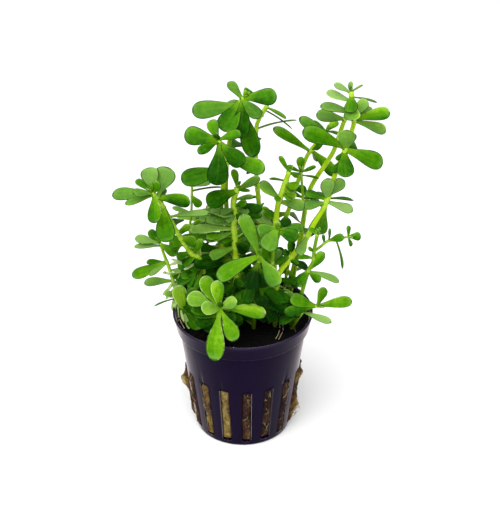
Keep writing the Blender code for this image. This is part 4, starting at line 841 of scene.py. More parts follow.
class Bench:
    """Lays out the nodes of one material."""

    def __init__(self, name: str, roughness: float, **fixed: float) -> None:
        """Start a material.

        Args:
            name: The material's name.
            roughness: The shader's roughness.
            **fixed: Other constant values of the shader, by socket name with _ for a space.
        """
        self.material = bpy.data.materials.new(name)
        self.material.use_nodes = True
        self.tree = self.material.node_tree
        self.shader = self.tree.nodes["Principled BSDF"]
        self.shader.inputs["Roughness"].default_value = roughness
        for socket, value in fixed.items():
            self.shader.inputs[socket.replace("_", " ")].default_value = value
        self.place = self.node("TexCoord").outputs["Object"]

    def node(self, kind: str, **settings: object) -> bpy.types.Node:
        """Add a node.

        Args:
            kind: Its type, without ShaderNode in front.
            **settings: Its settings by name.

        Returns:
            The node.
        """
        made = self.tree.nodes.new("ShaderNode" + kind)
        for name, setting in settings.items():
            setattr(made, name, setting)
        return made

    def feed(self, sockets: Sequence[Socket], *values: object) -> None:
        """Link sockets to outputs, or set them to constants.

        Args:
            sockets: The sockets to feed, from the first on.
            *values: An output or a constant for each.
        """
        for socket, value in zip(sockets, values):
            if isinstance(value, Socket):
                self.tree.links.new(value, socket)
            else:
                socket.default_value = value

    def value(self, name: str) -> Socket:
        """Return a named value of the mesh."""
        return self.node("Attribute", attribute_name=name).outputs["Fac"]

    def math(self, operation: str, *values: object, clamp: bool = False) -> Socket:
        """Do a sum.

        Args:
            operation: The sum's name in capitals.
            *values: What it is done on.
            clamp: Whether the result is held between 0 and 1.

        Returns:
            The result.
        """
        node = self.node("Math", operation=operation, use_clamp=clamp)
        self.feed(node.inputs, *values)
        return node.outputs[0]

    def scaled(self, value: object, factor: float, offset: float = 0.0, clamp: bool = False) -> Socket:
        """Return value * factor + offset, held between 0 and 1 if clamp is set."""
        return self.math("MULTIPLY_ADD", value, factor, offset, clamp=clamp)

    def varied(self, value: object, pattern: object, swing: float, clamp: bool = False) -> Socket:
        """Return value + swing * (pattern - 1/2), held between 0 and 1 if clamp is set."""
        return self.math("ADD", value, self.scaled(pattern, swing, -0.5 * swing), clamp=clamp)

    def noise(self, size: float, detail: float = 3.0, rough: float = 0.55,
              stretch: Triple = (1.0, 1.0, 1.0), vector: object = None) -> Socket:
        """Lay out a cloudy pattern.

        Args:
            size: Size of its patches in millimetres, or in the vector's own unit.
            detail: Number of finer layers.
            rough: Strength of the finer layers.
            stretch: Squeeze along each axis.
            vector: Coordinates to use in place of the object's.

        Returns:
            The pattern, about 0.5 on average.
        """
        place, grain = (self.place, size * MM) if vector is None else (vector, size)
        mapping = self.node("Mapping")
        self.feed((mapping.inputs["Vector"], mapping.inputs["Scale"]), place, stretch)
        node = self.node("TexNoise")
        sockets = [node.inputs[name] for name in ("Vector", "Scale", "Detail", "Roughness")]
        self.feed(sockets, mapping.outputs[0], 1.0 / grain, detail, rough)
        return node.outputs["Fac"]

    def vector(self, *parts: object) -> Socket:
        """Return three values as one vector."""
        node = self.node("CombineXYZ")
        self.feed(node.inputs, *parts)
        return node.outputs[0]

    def ramp(self, value: object, stops: Sequence[tuple[float, Colour]]) -> Socket:
        """Look up a colour for a value.

        Args:
            value: The value.
            stops: Values with their colours, in rising order.

        Returns:
            The colour, blended between the stops.
        """
        node = self.node("ValToRGB")
        marks = node.color_ramp.elements
        while len(marks) < len(stops):
            marks.new(1.0)
        for mark, (position, colour) in zip(marks, stops):
            mark.position = position
            mark.color = linear(colour)
        self.feed(node.inputs, value)
        return node.outputs["Color"]

    def mix(self, share: object, first: object, second: object) -> Socket:
        """Mix two colours.

        Args:
            share: Share of the second colour.
            first: First colour.
            second: Second colour.

        Returns:
            The mixed colour.
        """
        node = self.node("Mix", data_type="RGBA")
        colours = [linear(colour) if isinstance(colour, tuple) else colour for colour in (first, second)]
        self.feed((node.inputs[0], node.inputs[6], node.inputs[7]), share, *colours)
        return node.outputs[2]

    def finish(self, colour: Socket, bump: Socket | None = None, depth: float = 0.1,
               roughness: Socket | None = None) -> Material:
        """Feed the shader.

        Args:
            colour: The base colour.
            bump: Height pattern, if any.
            depth: Height of the pattern in millimetres.
            roughness: Roughness pattern, if it isn't constant.

        Returns:
            The finished material.
        """
        sockets = self.shader.inputs
        self.feed([sockets["Base Color"]], colour)
        if roughness is not None:
            self.feed([sockets["Roughness"]], roughness)
        if bump is not None:
            node = self.node("Bump")
            self.feed((node.inputs["Distance"], node.inputs["Height"]), depth * MM, bump)
            self.feed([sockets["Normal"]], node.outputs[0])
        return self.material


@dataclass(frozen=True)
class LeafFinish:
    """Fleshy green skin: pale at its midrib, foot and underside, painted light at its rim, and faintly
    streaked.

    The tone picks the green. What is named shift moves the tone, by chance from leaf to leaf and by patterns
    on
    the leaf. Painted light moves it too: the parts of a leaf that lie higher are painted lighter, and one
    side of the midrib is painted a shade lighter than the other. The thin edge is painted dark as shade on
    darker leaves and light as a highlight on lighter ones.
    """

    shaded: Colour = (6, 40, 0)
    deep: Colour = (30, 82, 0)
    middle: Colour = (60, 116, 2)
    light: Colour = (92, 144, 6)
    bright: Colour = (130, 176, 34)
    # pale grey green: the leaf's own bloom, and also a painted sheen on its higher parts
    grey: Colour = (134, 168, 92)
    straw: Colour = (216, 222, 168)
    # painted shade and highlight: edge colours for darker and for lighter leaves
    edge_shade: Colour = (16, 42, 8)
    edge_highlight: Colour = (176, 208, 116)
    # painted highlight: colour of the pale band inside the rim
    rim: Colour = (126, 166, 84)
    midrib: Colour = (140, 182, 66)
    foot: Colour = (122, 172, 14)
    under: Colour = (76, 124, 30)
    chance_shift: float = 0.14
    cloud_shift: float = 0.4
    # painted light: how much lighter the higher parts of a leaf are painted
    painted_light_shift: float = 0.2
    mottle_shift: float = 0.36
    streak_shift: float = 0.3
    foot_strength: float = 0.65
    # painted highlight: strength of the pale band inside the rim
    rim_highlight_strength: float = 0.55
    edge_paint_strength: float = 0.9
    under_strength: float = 0.4

    def make(self) -> Material:
        """Lay out the nodes.

        Returns:
            The material.
        """
        bench = Bench("leaf_skin", 0.4, Specular_IOR_Level=0.03, **FLESH)
        bench.shader.inputs["Subsurface Radius"].default_value = (0.5, 1.0, 0.15)
        across, along = bench.value("across"), bench.value("along")
        chance, upward = bench.value("chance"), bench.value("upward")
        streak_place = bench.vector(
            bench.scaled(across, 4.0), bench.scaled(along, 1.1), bench.scaled(chance, 37.0))
        streaks = bench.noise(1.0, 3.0, 0.6, vector=streak_place)
        clouds = bench.noise(5.0, 2.0)
        tone = bench.varied(bench.value("tone"), chance, self.chance_shift)
        tone = bench.varied(tone, clouds, self.cloud_shift)
        # painted light: the parts of the leaf that lie higher are painted a lighter green
        tone = bench.math("ADD", tone, bench.scaled(upward, self.painted_light_shift))
        # painted shade: one half of the blade, on a side set by chance, is painted a shade darker than the
        # other
        painted_half_shade = bench.math("MULTIPLY", across, bench.scaled(chance, 0.4, -0.12))
        tone = bench.math("ADD", tone, painted_half_shade)
        tone = bench.varied(tone, bench.noise(1.3, 2.0, 0.6), self.mottle_shift)
        tone = bench.varied(tone, streaks, self.streak_shift, clamp=True)
        colour = bench.ramp(tone, ((0.0, self.shaded), (0.28, self.deep), (0.55, self.middle),
                                   (0.8, self.light), (1.0, self.bright)))
        # The grey value mutes the green towards grey, and past 1 towards dry straw. Higher parts of the leaf
        # are also painted greyer, a painted sheen
        bloom_and_painted_sheen = bench.math("ADD", bench.value("grey"), bench.scaled(upward, 0.4, -0.16, clamp=True))
        colour = bench.mix(bench.scaled(bloom_and_painted_sheen, 1.0, clamp=True), colour, self.grey)
        colour = bench.mix(bench.scaled(bloom_and_painted_sheen, 1.0, -1.0, clamp=True), colour, self.straw)
        colour = self.marked(bench, colour, tone, bench.math("ABSOLUTE", across), along)
        height = bench.math("ADD", bench.scaled(streaks, 0.6), bench.scaled(bench.noise(0.35, 2.0), 0.25))
        return bench.finish(colour, height, 0.3, bench.scaled(clouds, 0.3, 0.26))

    def marked(self, bench: Bench, colour: Socket, tone: Socket, aside: Socket, along: Socket) -> Socket:
        """Lay the midrib, the foot, the rim's painted highlight, the thin edge's painted shade and highlight
        and the underside over the green.

        Args:
            bench: The material's bench.
            colour: The green.
            tone: The tone, from 0 for shaded to 1 for bright.
            aside: Distance from the midrib, 1 at the edge.
            along: Share of the leaf's length.

        Returns:
            The marked colour.
        """
        midrib = bench.scaled(aside, -9.0, 1.0, clamp=True)
        midrib = bench.math("MULTIPLY", midrib, bench.scaled(along, -0.18, 0.16, clamp=True))
        colour = bench.mix(midrib, colour, self.midrib)
        foot = bench.scaled(along, -2.7, 1.0, clamp=True)
        colour = bench.mix(bench.scaled(foot, self.foot_strength), colour, self.foot)
        # painted highlight: a pale band inside the rim and tip, only on leaves of lighter tone
        rim = bench.math("MAXIMUM", bench.scaled(aside, 4.5, -3.5), bench.scaled(along, 6.0, -5.1))
        rim = bench.scaled(rim, self.rim_highlight_strength, clamp=True)
        rim = bench.math("MULTIPLY", rim, bench.scaled(tone, 2.2, -0.5, clamp=True))
        colour = bench.mix(rim, colour, self.rim)
        # painted shade and highlight: the thin edge is painted dark on leaves of darker tone and light on
        # leaves of lighter tone
        edge = bench.math("MAXIMUM", bench.scaled(aside, 10.0, -8.4), bench.scaled(along, 24.0, -22.7))
        edge = bench.scaled(edge, 1.0, clamp=True)
        painted_edge_colour = bench.ramp(tone, ((0.74, self.edge_shade), (0.88, self.edge_highlight)))
        colour = bench.mix(bench.scaled(edge, self.edge_paint_strength), colour, painted_edge_colour)
        return bench.mix(bench.scaled(bench.value("under"), self.under_strength), colour, self.under)


@dataclass(frozen=True)
class StemFinish:
    """Juicy green stem skin, dull to lime by its tone, pale round its joints, painted shade at its foot."""

    dull: Colour = (50, 76, 6)
    green: Colour = (100, 146, 8)
    lime: Colour = (166, 202, 16)
    ring: Colour = (176, 208, 80)
    # painted shade: colour of the stem's foot near the soil
    foot: Colour = (62, 84, 14)
    cloud_shift: float = 0.3
    streak_shift: float = 0.2
    ring_strength: float = 0.45

    def make(self) -> Material:
        """Lay out the nodes.

        Returns:
            The material.
        """
        bench = Bench("stem_skin", 0.42, Specular_IOR_Level=0.1, **FLESH)
        bench.shader.inputs["Subsurface Radius"].default_value = (0.6, 1.0, 0.2)
        streaks = bench.noise(0.7, 3.0, 0.6, stretch=(1.0, 1.0, 0.14))
        clouds = bench.noise(6.0, 2.0)
        # The stem's tone is partly its own green and partly painted light and shade where the shoot stands
        tone = bench.varied(bench.value("tone"), clouds, self.cloud_shift)
        tone = bench.varied(tone, streaks, self.streak_shift, clamp=True)
        colour = bench.ramp(tone, ((0.0, self.dull), (0.5, self.green), (1.0, self.lime)))
        colour = bench.mix(bench.scaled(bench.value("joint"), self.ring_strength), colour, self.ring)
        # painted shade: the stem is darkened towards the foot colour near the soil
        colour = bench.mix(bench.value("low"), colour, self.foot)
        return bench.finish(colour, streaks, 0.12, bench.scaled(clouds, 0.25, 0.3))


@dataclass(frozen=True)
class PotFinish:
    """Aubergine moulded plastic with a soft sheen, a fine grain and faint scuffs.

    Its creases are painted dark as shade, and its lip is painted paler as a highlight.
    """

    body: Colour = (10, 1, 27)
    worn: Colour = (20, 5, 40)
    scuff: Colour = (52, 40, 66)
    # painted shade: colour in the creases
    crease: Colour = (3, 0, 9)
    # painted highlight: colour along the top of the lip
    lip: Colour = (62, 52, 74)
    sheen_tint: tuple[float, float, float, float] = (1.0, 0.88, 0.92, 1.0)
    scuff_strength: float = 0.25
    crease_shade_strength: float = 0.9
    lip_highlight_strength: float = 0.5

    def make(self) -> Material:
        """Lay out the nodes.

        Returns:
            The material.
        """
        bench = Bench("aubergine_plastic", 0.36, Specular_IOR_Level=0.03, Sheen_Weight=0.95,
                      Sheen_Roughness=0.26)
        bench.shader.inputs["Sheen Tint"].default_value = self.sheen_tint
        grain = bench.noise(0.5, 3.0, 0.6)
        flow = bench.noise(9.0, 3.0, 0.6, stretch=(1.0, 1.0, 0.35))
        scuffs = bench.noise(2.2, 4.0, 0.7, stretch=(1.0, 1.0, 0.5))
        scuffed = bench.scaled(scuffs, 6.0, -3.7, clamp=True)
        colour = bench.mix(bench.scaled(flow, 0.6, -0.1, clamp=True), self.body, self.worn)
        colour = bench.mix(bench.scaled(scuffed, self.scuff_strength), colour, self.scuff)
        # painted shade: the creases above some slots are darkened
        colour = bench.mix(bench.scaled(bench.value("crease"), self.crease_shade_strength), colour, self.crease)
        # painted highlight: a paler band along the top of the lip
        colour = bench.mix(bench.scaled(bench.value("lip"), self.lip_highlight_strength), colour, self.lip)
        roughness = bench.math("ADD", bench.scaled(flow, 0.25, 0.22), bench.scaled(scuffed, 0.12))
        return bench.finish(colour, bench.math("ADD", bench.scaled(grain, 0.4), flow), 0.06, roughness)


@dataclass(frozen=True)
class WoolFinish:
    """Wet mineral wool stained by roots: straw, amber and brown fibres."""

    dark: Colour = (26, 14, 12)
    brown: Colour = (66, 42, 30)
    amber: Colour = (126, 104, 48)
    straw: Colour = (176, 165, 106)

    def make(self) -> Material:
        """Lay out the nodes.

        Returns:
            The material.
        """
        bench = Bench("stained_wool", 0.85, Specular_IOR_Level=0.1)
        fibres = bench.noise(0.9, 5.0, 0.7, stretch=(1.0, 1.0, 0.3))
        stain = bench.noise(7.0, 3.0, 0.6)
        tone = bench.math("ADD", bench.scaled(fibres, 0.9, -0.45), bench.scaled(stain, 1.3, -0.65))
        tone = bench.math("ADD", tone, bench.value("tone"), clamp=True)
        colour = bench.ramp(tone, ((0.05, self.dark), (0.35, self.brown), (0.65, self.amber),
                                   (0.95, self.straw)))
        return bench.finish(colour, fibres, 0.8)


@dataclass(frozen=True)
class SoilFinish:
    """Damp black soil with paler grit, and near-white specks where the value pale is 1."""

    wet: Colour = (2, 2, 2)
    crumb: Colour = (18, 16, 14)
    grit: Colour = (46, 40, 32)
    speck: Colour = (214, 212, 204)

    def make(self) -> Material:
        """Lay out the nodes.

        Returns:
            The material.
        """
        bench = Bench("damp_soil", 0.8, Specular_IOR_Level=0.1)
        grains = bench.noise(0.6, 4.0, 0.7)
        patches = bench.scaled(bench.noise(4.0, 2.0), 0.3, -0.15)
        tone = bench.math("ADD", bench.scaled(grains, 0.5, -0.15), patches, clamp=True)
        colour = bench.ramp(tone, ((0.0, self.wet), (0.6, self.crumb), (1.0, self.grit)))
        colour = bench.mix(bench.value("pale"), colour, self.speck)
        return bench.finish(colour, grains, 0.5)


@dataclass(frozen=True)
class RootFinish:
    """Thin roots: cream to rust brown by their tone."""

    rust: Colour = (58, 34, 26)
    cream: Colour = (196, 178, 138)

    def make(self) -> Material:
        """Lay out the nodes.

        Returns:
            The material.
        """
        bench = Bench("root_skin", 0.6, Specular_IOR_Level=0.15)
        patches = bench.noise(1.5, 3.0)
        tone = bench.varied(bench.value("tone"), patches, 0.4, clamp=True)
        colour = bench.ramp(tone, ((0.0, self.rust), (1.0, self.cream)))
        return bench.finish(colour, patches, 0.1)


@dataclass(frozen=True)
class FloorFinish:
    """A matt floor, white with very faint clouds."""

    cloud: Colour = (252, 252, 252)
    white: Colour = (255, 255, 255)
    cloud_size: float = 400.0

    def make(self) -> Material:
        """Return the material."""
        bench = Bench("pale_floor", 0.9, Specular_IOR_Level=0.1)
        return bench.finish(bench.mix(bench.noise(self.cloud_size), self.cloud, self.white))


@dataclass(frozen=True)
class Blade:
    """The form that all leaves share: a fleshy paddle, narrow at its foot and round at its tip.

    Thickness and full_flesh_width are in millimetres. The others are shares of a length or a half width,
    counts, an exponent (bluntness), turns (ripple_turns) and an angle in radians (twist).
    """

    foot: float = 0.3
    stalk_foot: float = 0.2
    widest: float = 0.74
    bluntness: float = 2.3
    thickness: float = 0.8
    full_flesh_width: float = 4.5
    thinning: float = 0.35
    arch: float = 0.16
    cup: float = 0.16
    groove: float = 0.1
    groove_reach: float = 0.2
    ripple: float = 0.08
    ripple_turns: float = 1.3
    twist: float = 0.25
    bend: float = 0.03
    lengthwise: float = 0.8
    rows: int = 13
    around: int = 14

    def surface(self, base: Points, tip: Points, width: float, face_hint: Points, tone: float,
                draw: Draw, grey: float = 0.0, stalk: float = 0.0) -> Surface:
        """Work out one leaf on a grid of its length and the angle round its section.

        At a share s of the length, the half width rises by smoothstep((s - stalk) / (widest - stalk)) from
        the foot, and past the widest place falls as sqrt(1 - t^bluntness). The section is a flat ellipse
        that bends up towards its edges by cup * half width * across², the middle line bows by
        arch * length * s(1 - s), and a groove runs along the upper side. Each leaf ripples, twists (in
        radians at its tip) and bends sideways by chance.

        Args:
            base: The leaf's foot on its stem.
            tip: The end of the leaf.
            width: Its greatest width.
            face_hint: The way its upper side faces, roughly.
            tone: Its tone from shaded to bright.
            draw: Random numbers for its small differences.
            grey: How far it is muted.
            stalk: The share of its length that stays narrow.

        Returns:
            The closed leaf with its values across, along, under, tone, grey, chance and upward, which runs
            from about -1 at its lowest edge to 1 at its highest.
        """
        bend, twist, ripple, phase, chance = draw.uniform(-1.0, 1.0, 5)
        length = float(np.linalg.norm(tip - base))
        along = (tip - base) / length
        face = unit(face_hint - along * (face_hint @ along))
        side = np.cross(face, along)
        share = np.sin(0.25 * TURN * np.arange(self.rows) / self.rows)[:, None]
        fall = np.clip((share - self.widest) / (1.0 - self.widest), 0.0, 1.0)
        foot = self.stalk_foot if stalk else self.foot
        half = foot + (1.0 - foot) * smoothstep((share - stalk) / (self.widest - stalk))
        half = 0.5 * width * half * np.sqrt(1.0 - fall**self.bluntness)
        plump = min(1.0, 0.5 + 0.5 * width / self.full_flesh_width)
        flesh = 0.5 * self.thickness * plump * (1.0 - self.thinning * share)
        flesh = flesh * np.sqrt(1.0 - fall**3)
        turn = TURN * np.arange(self.around)[None] / self.around
        across, over = np.cos(turn), np.sin(turn)
        level = flesh * over + self.cup * half * across**2
        groove = self.groove * half * np.exp(-((across / self.groove_reach) ** 2))
        level = level - groove * (over > 0.0) * smoothstep(share * 4.0)
        wave = np.sin(self.ripple_turns * TURN * share + phase * math.pi)
        level = level + self.ripple * ripple * half * across * wave
        angle = self.twist * twist * share
        lateral = half * across * np.cos(angle) - level * np.sin(angle)
        lift = half * across * np.sin(angle) + level * np.cos(angle)
        lift = lift + self.arch * length * share * (1.0 - share)
        lateral = lateral + self.bend * bend * length * np.sin(math.pi * share)
        middle = base + along * (length * share)[..., None]
        rings = middle + side * lateral[..., None] + face * lift[..., None]
        values = {
            "across": across,
            "along": share,
            "under": np.clip(-2.0 * over, 0.0, 1.0),
            "tone": np.array([[tone]]),
            "grey": np.array([[grey]]),
            "chance": np.array([[0.5 + 0.5 * chance]]),
            "upward": side[2] * across + along[2] * (2.0 * share - 1.0) * self.lengthwise,
        }
        return closed_skin(rings, base, tip, values)


@dataclass(frozen=True)
class StemForm:
    """The form that all stems share."""

    taper: float = 0.3
    swelling: float = 0.22
    joint_length: float = 0.7
    # painted shade: how far above the soil the stem's foot is darkened
    shaded_foot_reach: float = 11.0
    spacing: float = 0.6
    around: int = 14
    twig_thickness: float = 1.0

    def surface(self, route: Points, thickness: float, joints: Sequence[int], tone: float) -> Surface:
        """Work out a stem as a tube that thins towards its tip and swells at its joints.

        Radius = thickness / 2 * (1 - taper * s) * (1 + swelling * the nearest joint's bell curve).

        Args:
            route: The stem's middle line.
            thickness: Its thickness at its foot.
            joints: Indices of the route's points where leaves grow.
            tone: Its tone from dull to lime.

        Returns:
            The closed stem with its values tone, joint and low.
        """
        reach = distances_along(route)
        share = reach / reach[-1]
        bells = np.zeros_like(reach)
        if len(joints):
            apart = (reach[:, None] - reach[list(joints)][None]) / self.joint_length
            bells = np.exp(-(apart**2)).max(axis=1)
        radii = 0.5 * thickness * (1.0 - self.taper * share) * (1.0 + self.swelling * bells)
        # painted shade weight: 1 at the soil, fading out higher up the stem
        low = 1.0 - smoothstep((route[:, 2] - SOIL_TOP) / self.shaded_foot_reach)
        values = {"tone": np.full_like(reach, tone), "joint": bells, "low": low}
        return tube(route, radii, self.around, values)


@dataclass(frozen=True)
class Thicket:
    """Where small pairs of leaves crowd the lower stems.

    At each of its heights up the card it reaches from a left to a right place, and forward to a front. The
    ranges are for one leaf's length, rise from its stem, tone and grey, and for the gaps between pairs.
    """

    ups: tuple[float, ...] = (-3.4, 1.5, 7.1, 12.7, 17.6, 22.0, 25.8, 30.3, 35.1, 38.9)
    lefts: tuple[float, ...] = (-20.0, -23.0, -24.0, -24.5, -24.0, -22.0, -23.0, -22.5, -22.0, -13.0)
    rights: tuple[float, ...] = (22.0, 23.0, 19.0, 13.0, 10.0, 10.0, 12.0, 16.0, 13.0, 8.0)
    fronts: tuple[float, ...] = (-14.0, -13.0, -12.0, -9.0, -6.0, -5.0, -4.0, -4.0, -4.0, -4.0)
    clear_foot: float = 1.4
    internode: float = 3.3
    gap_shares: Span = (0.8, 1.25)
    turn_spread: float = 0.25
    lengths: Span = (7.0, 10.5)
    rises: Span = (0.1, 1.0)
    tones: Span = (0.55, 1.15)
    greys: Span = (-0.2, 0.8)
    slimness: float = 0.5
    tilt: float = 0.45
    shade_height: float = 22.0
    deepest_shade: float = 0.35

    def holds(self, tip: Points) -> bool:
        """Tell whether a leaf belongs to the thicket.

        Args:
            tip: The leaf's tip.

        Returns:
            Whether the tip lies between the sides, behind the front and clear of the soil.
        """
        across, up = card_places(tip[None])[0]
        level = self.ups[0] < up < self.ups[-1]
        inside = np.interp(up, self.ups, self.lefts) < across < np.interp(up, self.ups, self.rights)
        behind = tip[1] > np.interp(up, self.ups, self.fronts)
        return bool(level and inside and behind and tip[2] > SOIL_TOP + 1.0)


class ShootBuilder:
    """Builds one shoot: its stem, the small leaves fused to it and its large leaves."""

    bud_length: float = 2.6
    bud_slimness: float = 0.55
    bud_tone: float = 0.72
    bud_leaves: int = 4
    tip_slack: float = 0.08

    def __init__(self, shoot: Shoot, draw: Draw) -> None:
        """Lay out the stem's and the twigs' middle lines.

        Args:
            shoot: The shoot's description.
            draw: Random numbers for small differences between leaves.
        """
        self.shoot = shoot
        self.draw = draw
        self.blade = Blade()
        self.form = StemForm()
        self.thicket = Thicket()
        foot = np.array((*shoot.foot, SOIL_TOP))
        course = [foot - PLANT_DEPTH * UP, foot] + [sighted(*place) for place in shoot.stem]
        self.routes = [smooth_route(np.array(course), self.form.spacing)]
        for twig in shoot.twigs:
            course = [sighted(*place) for place in twig]
            self.routes.append(smooth_route(np.array(course), self.form.spacing))
        self.joints: list[list[int]] = [[] for _ in self.routes]

    def attachment(self, leaf: Leaf) -> tuple[Points, Points]:
        """Find where a leaf grows, and note a joint there.

        Args:
            leaf: The leaf.

        Returns:
            The point of the stem or twig that is seen nearest to the leaf's base, and the stem's direction.
        """
        best = None
        for index, route in enumerate(self.routes):
            miss = np.hypot(*(card_places(route) - leaf.base).T)
            at = int(np.argmin(miss))
            if best is None or miss[at] < best[0]:
                best = (miss[at], index, at)
        _, index, at = best
        self.joints[index].append(at)
        route = self.routes[index]
        return route[at], unit(route[min(at + 1, len(route) - 1)] - route[max(at - 1, 0)])

    def node_name(self, leaf: Leaf) -> str:
        """Return the name of the CAD node that a leaf is in: its own, or its stem's."""
        return "leaf_%s_%s" % (self.shoot.name, leaf.name) if leaf.name else "stem_" + self.shoot.name

    def tip_in_frame(self, leaf: Leaf, planned: Points) -> Points:
        """Return a leaf's tip as its CAD node has it.

        Args:
            leaf: The leaf.
            planned: Where its tip was planned.

        Returns:
            The node's vertex on the tip's sight line that lies nearest to the plan, or the plan.
        """
        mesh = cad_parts[self.node_name(leaf)].data
        corners = np.empty(len(mesh.vertices) * 3)
        mesh.vertices.foreach_get("co", corners)
        corners = corners.reshape(-1, 3) / MM
        near = corners[np.hypot(*(card_places(corners) - leaf.tip).T) < self.tip_slack]
        if not len(near):
            logging.warning("no tip in the frame for %s at %s", self.node_name(leaf), leaf.tip)
            return planned
        return near[np.argmin(np.abs(near[:, 1] - planned[1]))]

    def leaf_surface(self, leaf: Leaf, in_frame: bool) -> Surface:
        """Return one leaf's surface, from its stem's middle to its tip.

        Args:
            leaf: The leaf.
            in_frame: Whether the frame has it, so that its tip is read there.

        Returns:
            The closed leaf.
        """
        base, stem_way = self.attachment(leaf)
        tip = sighted(*leaf.tip, base[1] - leaf.forward)
        if in_frame:
            tip = self.tip_in_frame(leaf, tip)
        hint = stem_way * (1.0 - abs(leaf.facing)) + unit(EYE - base) * leaf.facing
        return self.blade.surface(base, tip, leaf.width, hint, leaf.tone, self.draw, leaf.grey, leaf.stalk)

    def bud(self, route: Points) -> list[Surface]:
        """Work out the folded young leaves at the end of a stem, every second one longer and more upright.

        Args:
            route: The stem's middle line.

        Returns:
            The young leaves.
        """
        way = unit(route[-1] - route[-3])
        first = unit(np.cross(way, ACROSS + 0.3 * UP))
        second = np.cross(way, first)
        made = []
        for index in range(self.bud_leaves):
            turn = TURN * index / self.bud_leaves + 0.5
            outward = first * math.cos(turn) + second * math.sin(turn)
            inner = index % 2
            length = self.bud_length * (0.75 + 0.35 * inner)
            base = route[-1] - 0.3 * way
            tip = route[-1] + length * (way * (0.85 + 0.1 * inner) + outward * (0.5 - 0.25 * inner))
            width = self.bud_slimness * length
            made.append(self.blade.surface(base, tip, width, -outward + 0.3 * way, self.bud_tone, self.draw))
        return made

    def crowd(self) -> list[Surface]:
        """Work out pairs of small leaves along the stem inside the thicket, each crossing the last pair.

        Returns:
            The leaves, darker towards the soil.
        """
        route, thicket, draw = self.routes[0], self.thicket, self.draw
        reach = distances_along(route)
        at_reach = PLANT_DEPTH + thicket.clear_foot
        turn = draw.uniform(0.0, TURN)
        made = []
        while at_reach < reach[-1]:
            at = min(int(np.searchsorted(reach, at_reach)), len(route) - 2)
            way = unit(route[at + 1] - route[at - 1])
            side = unit(np.cross(way, ACROSS * math.cos(turn) + np.cross(UP, ACROSS) * math.sin(turn)))
            for outward in (side, -side):
                length, rise = draw.uniform(*thicket.lengths), draw.uniform(*thicket.rises)
                tone, grey = draw.uniform(*thicket.tones), draw.uniform(*thicket.greys)
                hint = way + draw.normal(0.0, thicket.tilt, 3)
                tip = route[at] + length * (outward * math.cos(rise) + way * math.sin(rise))
                # painted shade and sheen: leaves nearer the soil get a darker tone, and only the higher ones
                # keep their grey
                lit = float(smoothstep((tip[2] - SOIL_TOP) / thicket.shade_height))
                tone *= thicket.deepest_shade + (1.0 - thicket.deepest_shade) * lit
                grey = max(grey, 0.0) * lit
                if thicket.holds(tip):
                    width = thicket.slimness * length
                    made.append(self.blade.surface(route[at], tip, width, hint, tone, draw, grey))
            turn += 0.25 * TURN + draw.normal(0.0, thicket.turn_spread)
            at_reach += thicket.internode * draw.uniform(*thicket.gap_shares)
        return made

    def build(self, stem_skin: Material, leaf_skin: Material) -> None:
        """Build the shoot's pieces: each named leaf, the stem with its twigs, and the small leaves.

        Args:
            stem_skin: The stems' material.
            leaf_skin: The leaves' material.
        """
        node = "stem_" + self.shoot.name
        small: list[Surface] = []
        for leaf in self.shoot.leaves:
            surface = self.leaf_surface(leaf, True)
            if leaf.name:
                name = "%s_leaf_%s" % (self.shoot.name, leaf.name)
                make_piece(name, surface, leaf_skin, [self.node_name(leaf)])
            else:
                small.append(surface)
        small += [self.leaf_surface(leaf, False) for leaf in self.shoot.fine]
        for route in self.routes:
            small += self.bud(route)
        small += self.crowd()
        thicknesses = [self.shoot.thickness] + [self.form.twig_thickness] * len(self.shoot.twigs)
        stems = [self.form.surface(route, thickness, joints, self.shoot.tone)
                 for route, thickness, joints in zip(self.routes, thicknesses, self.joints)]
        make_piece(self.shoot.name + "_stem", joined(stems), stem_skin, [node])
        make_piece(self.shoot.name + "_leaves", joined(small), leaf_skin, [node])


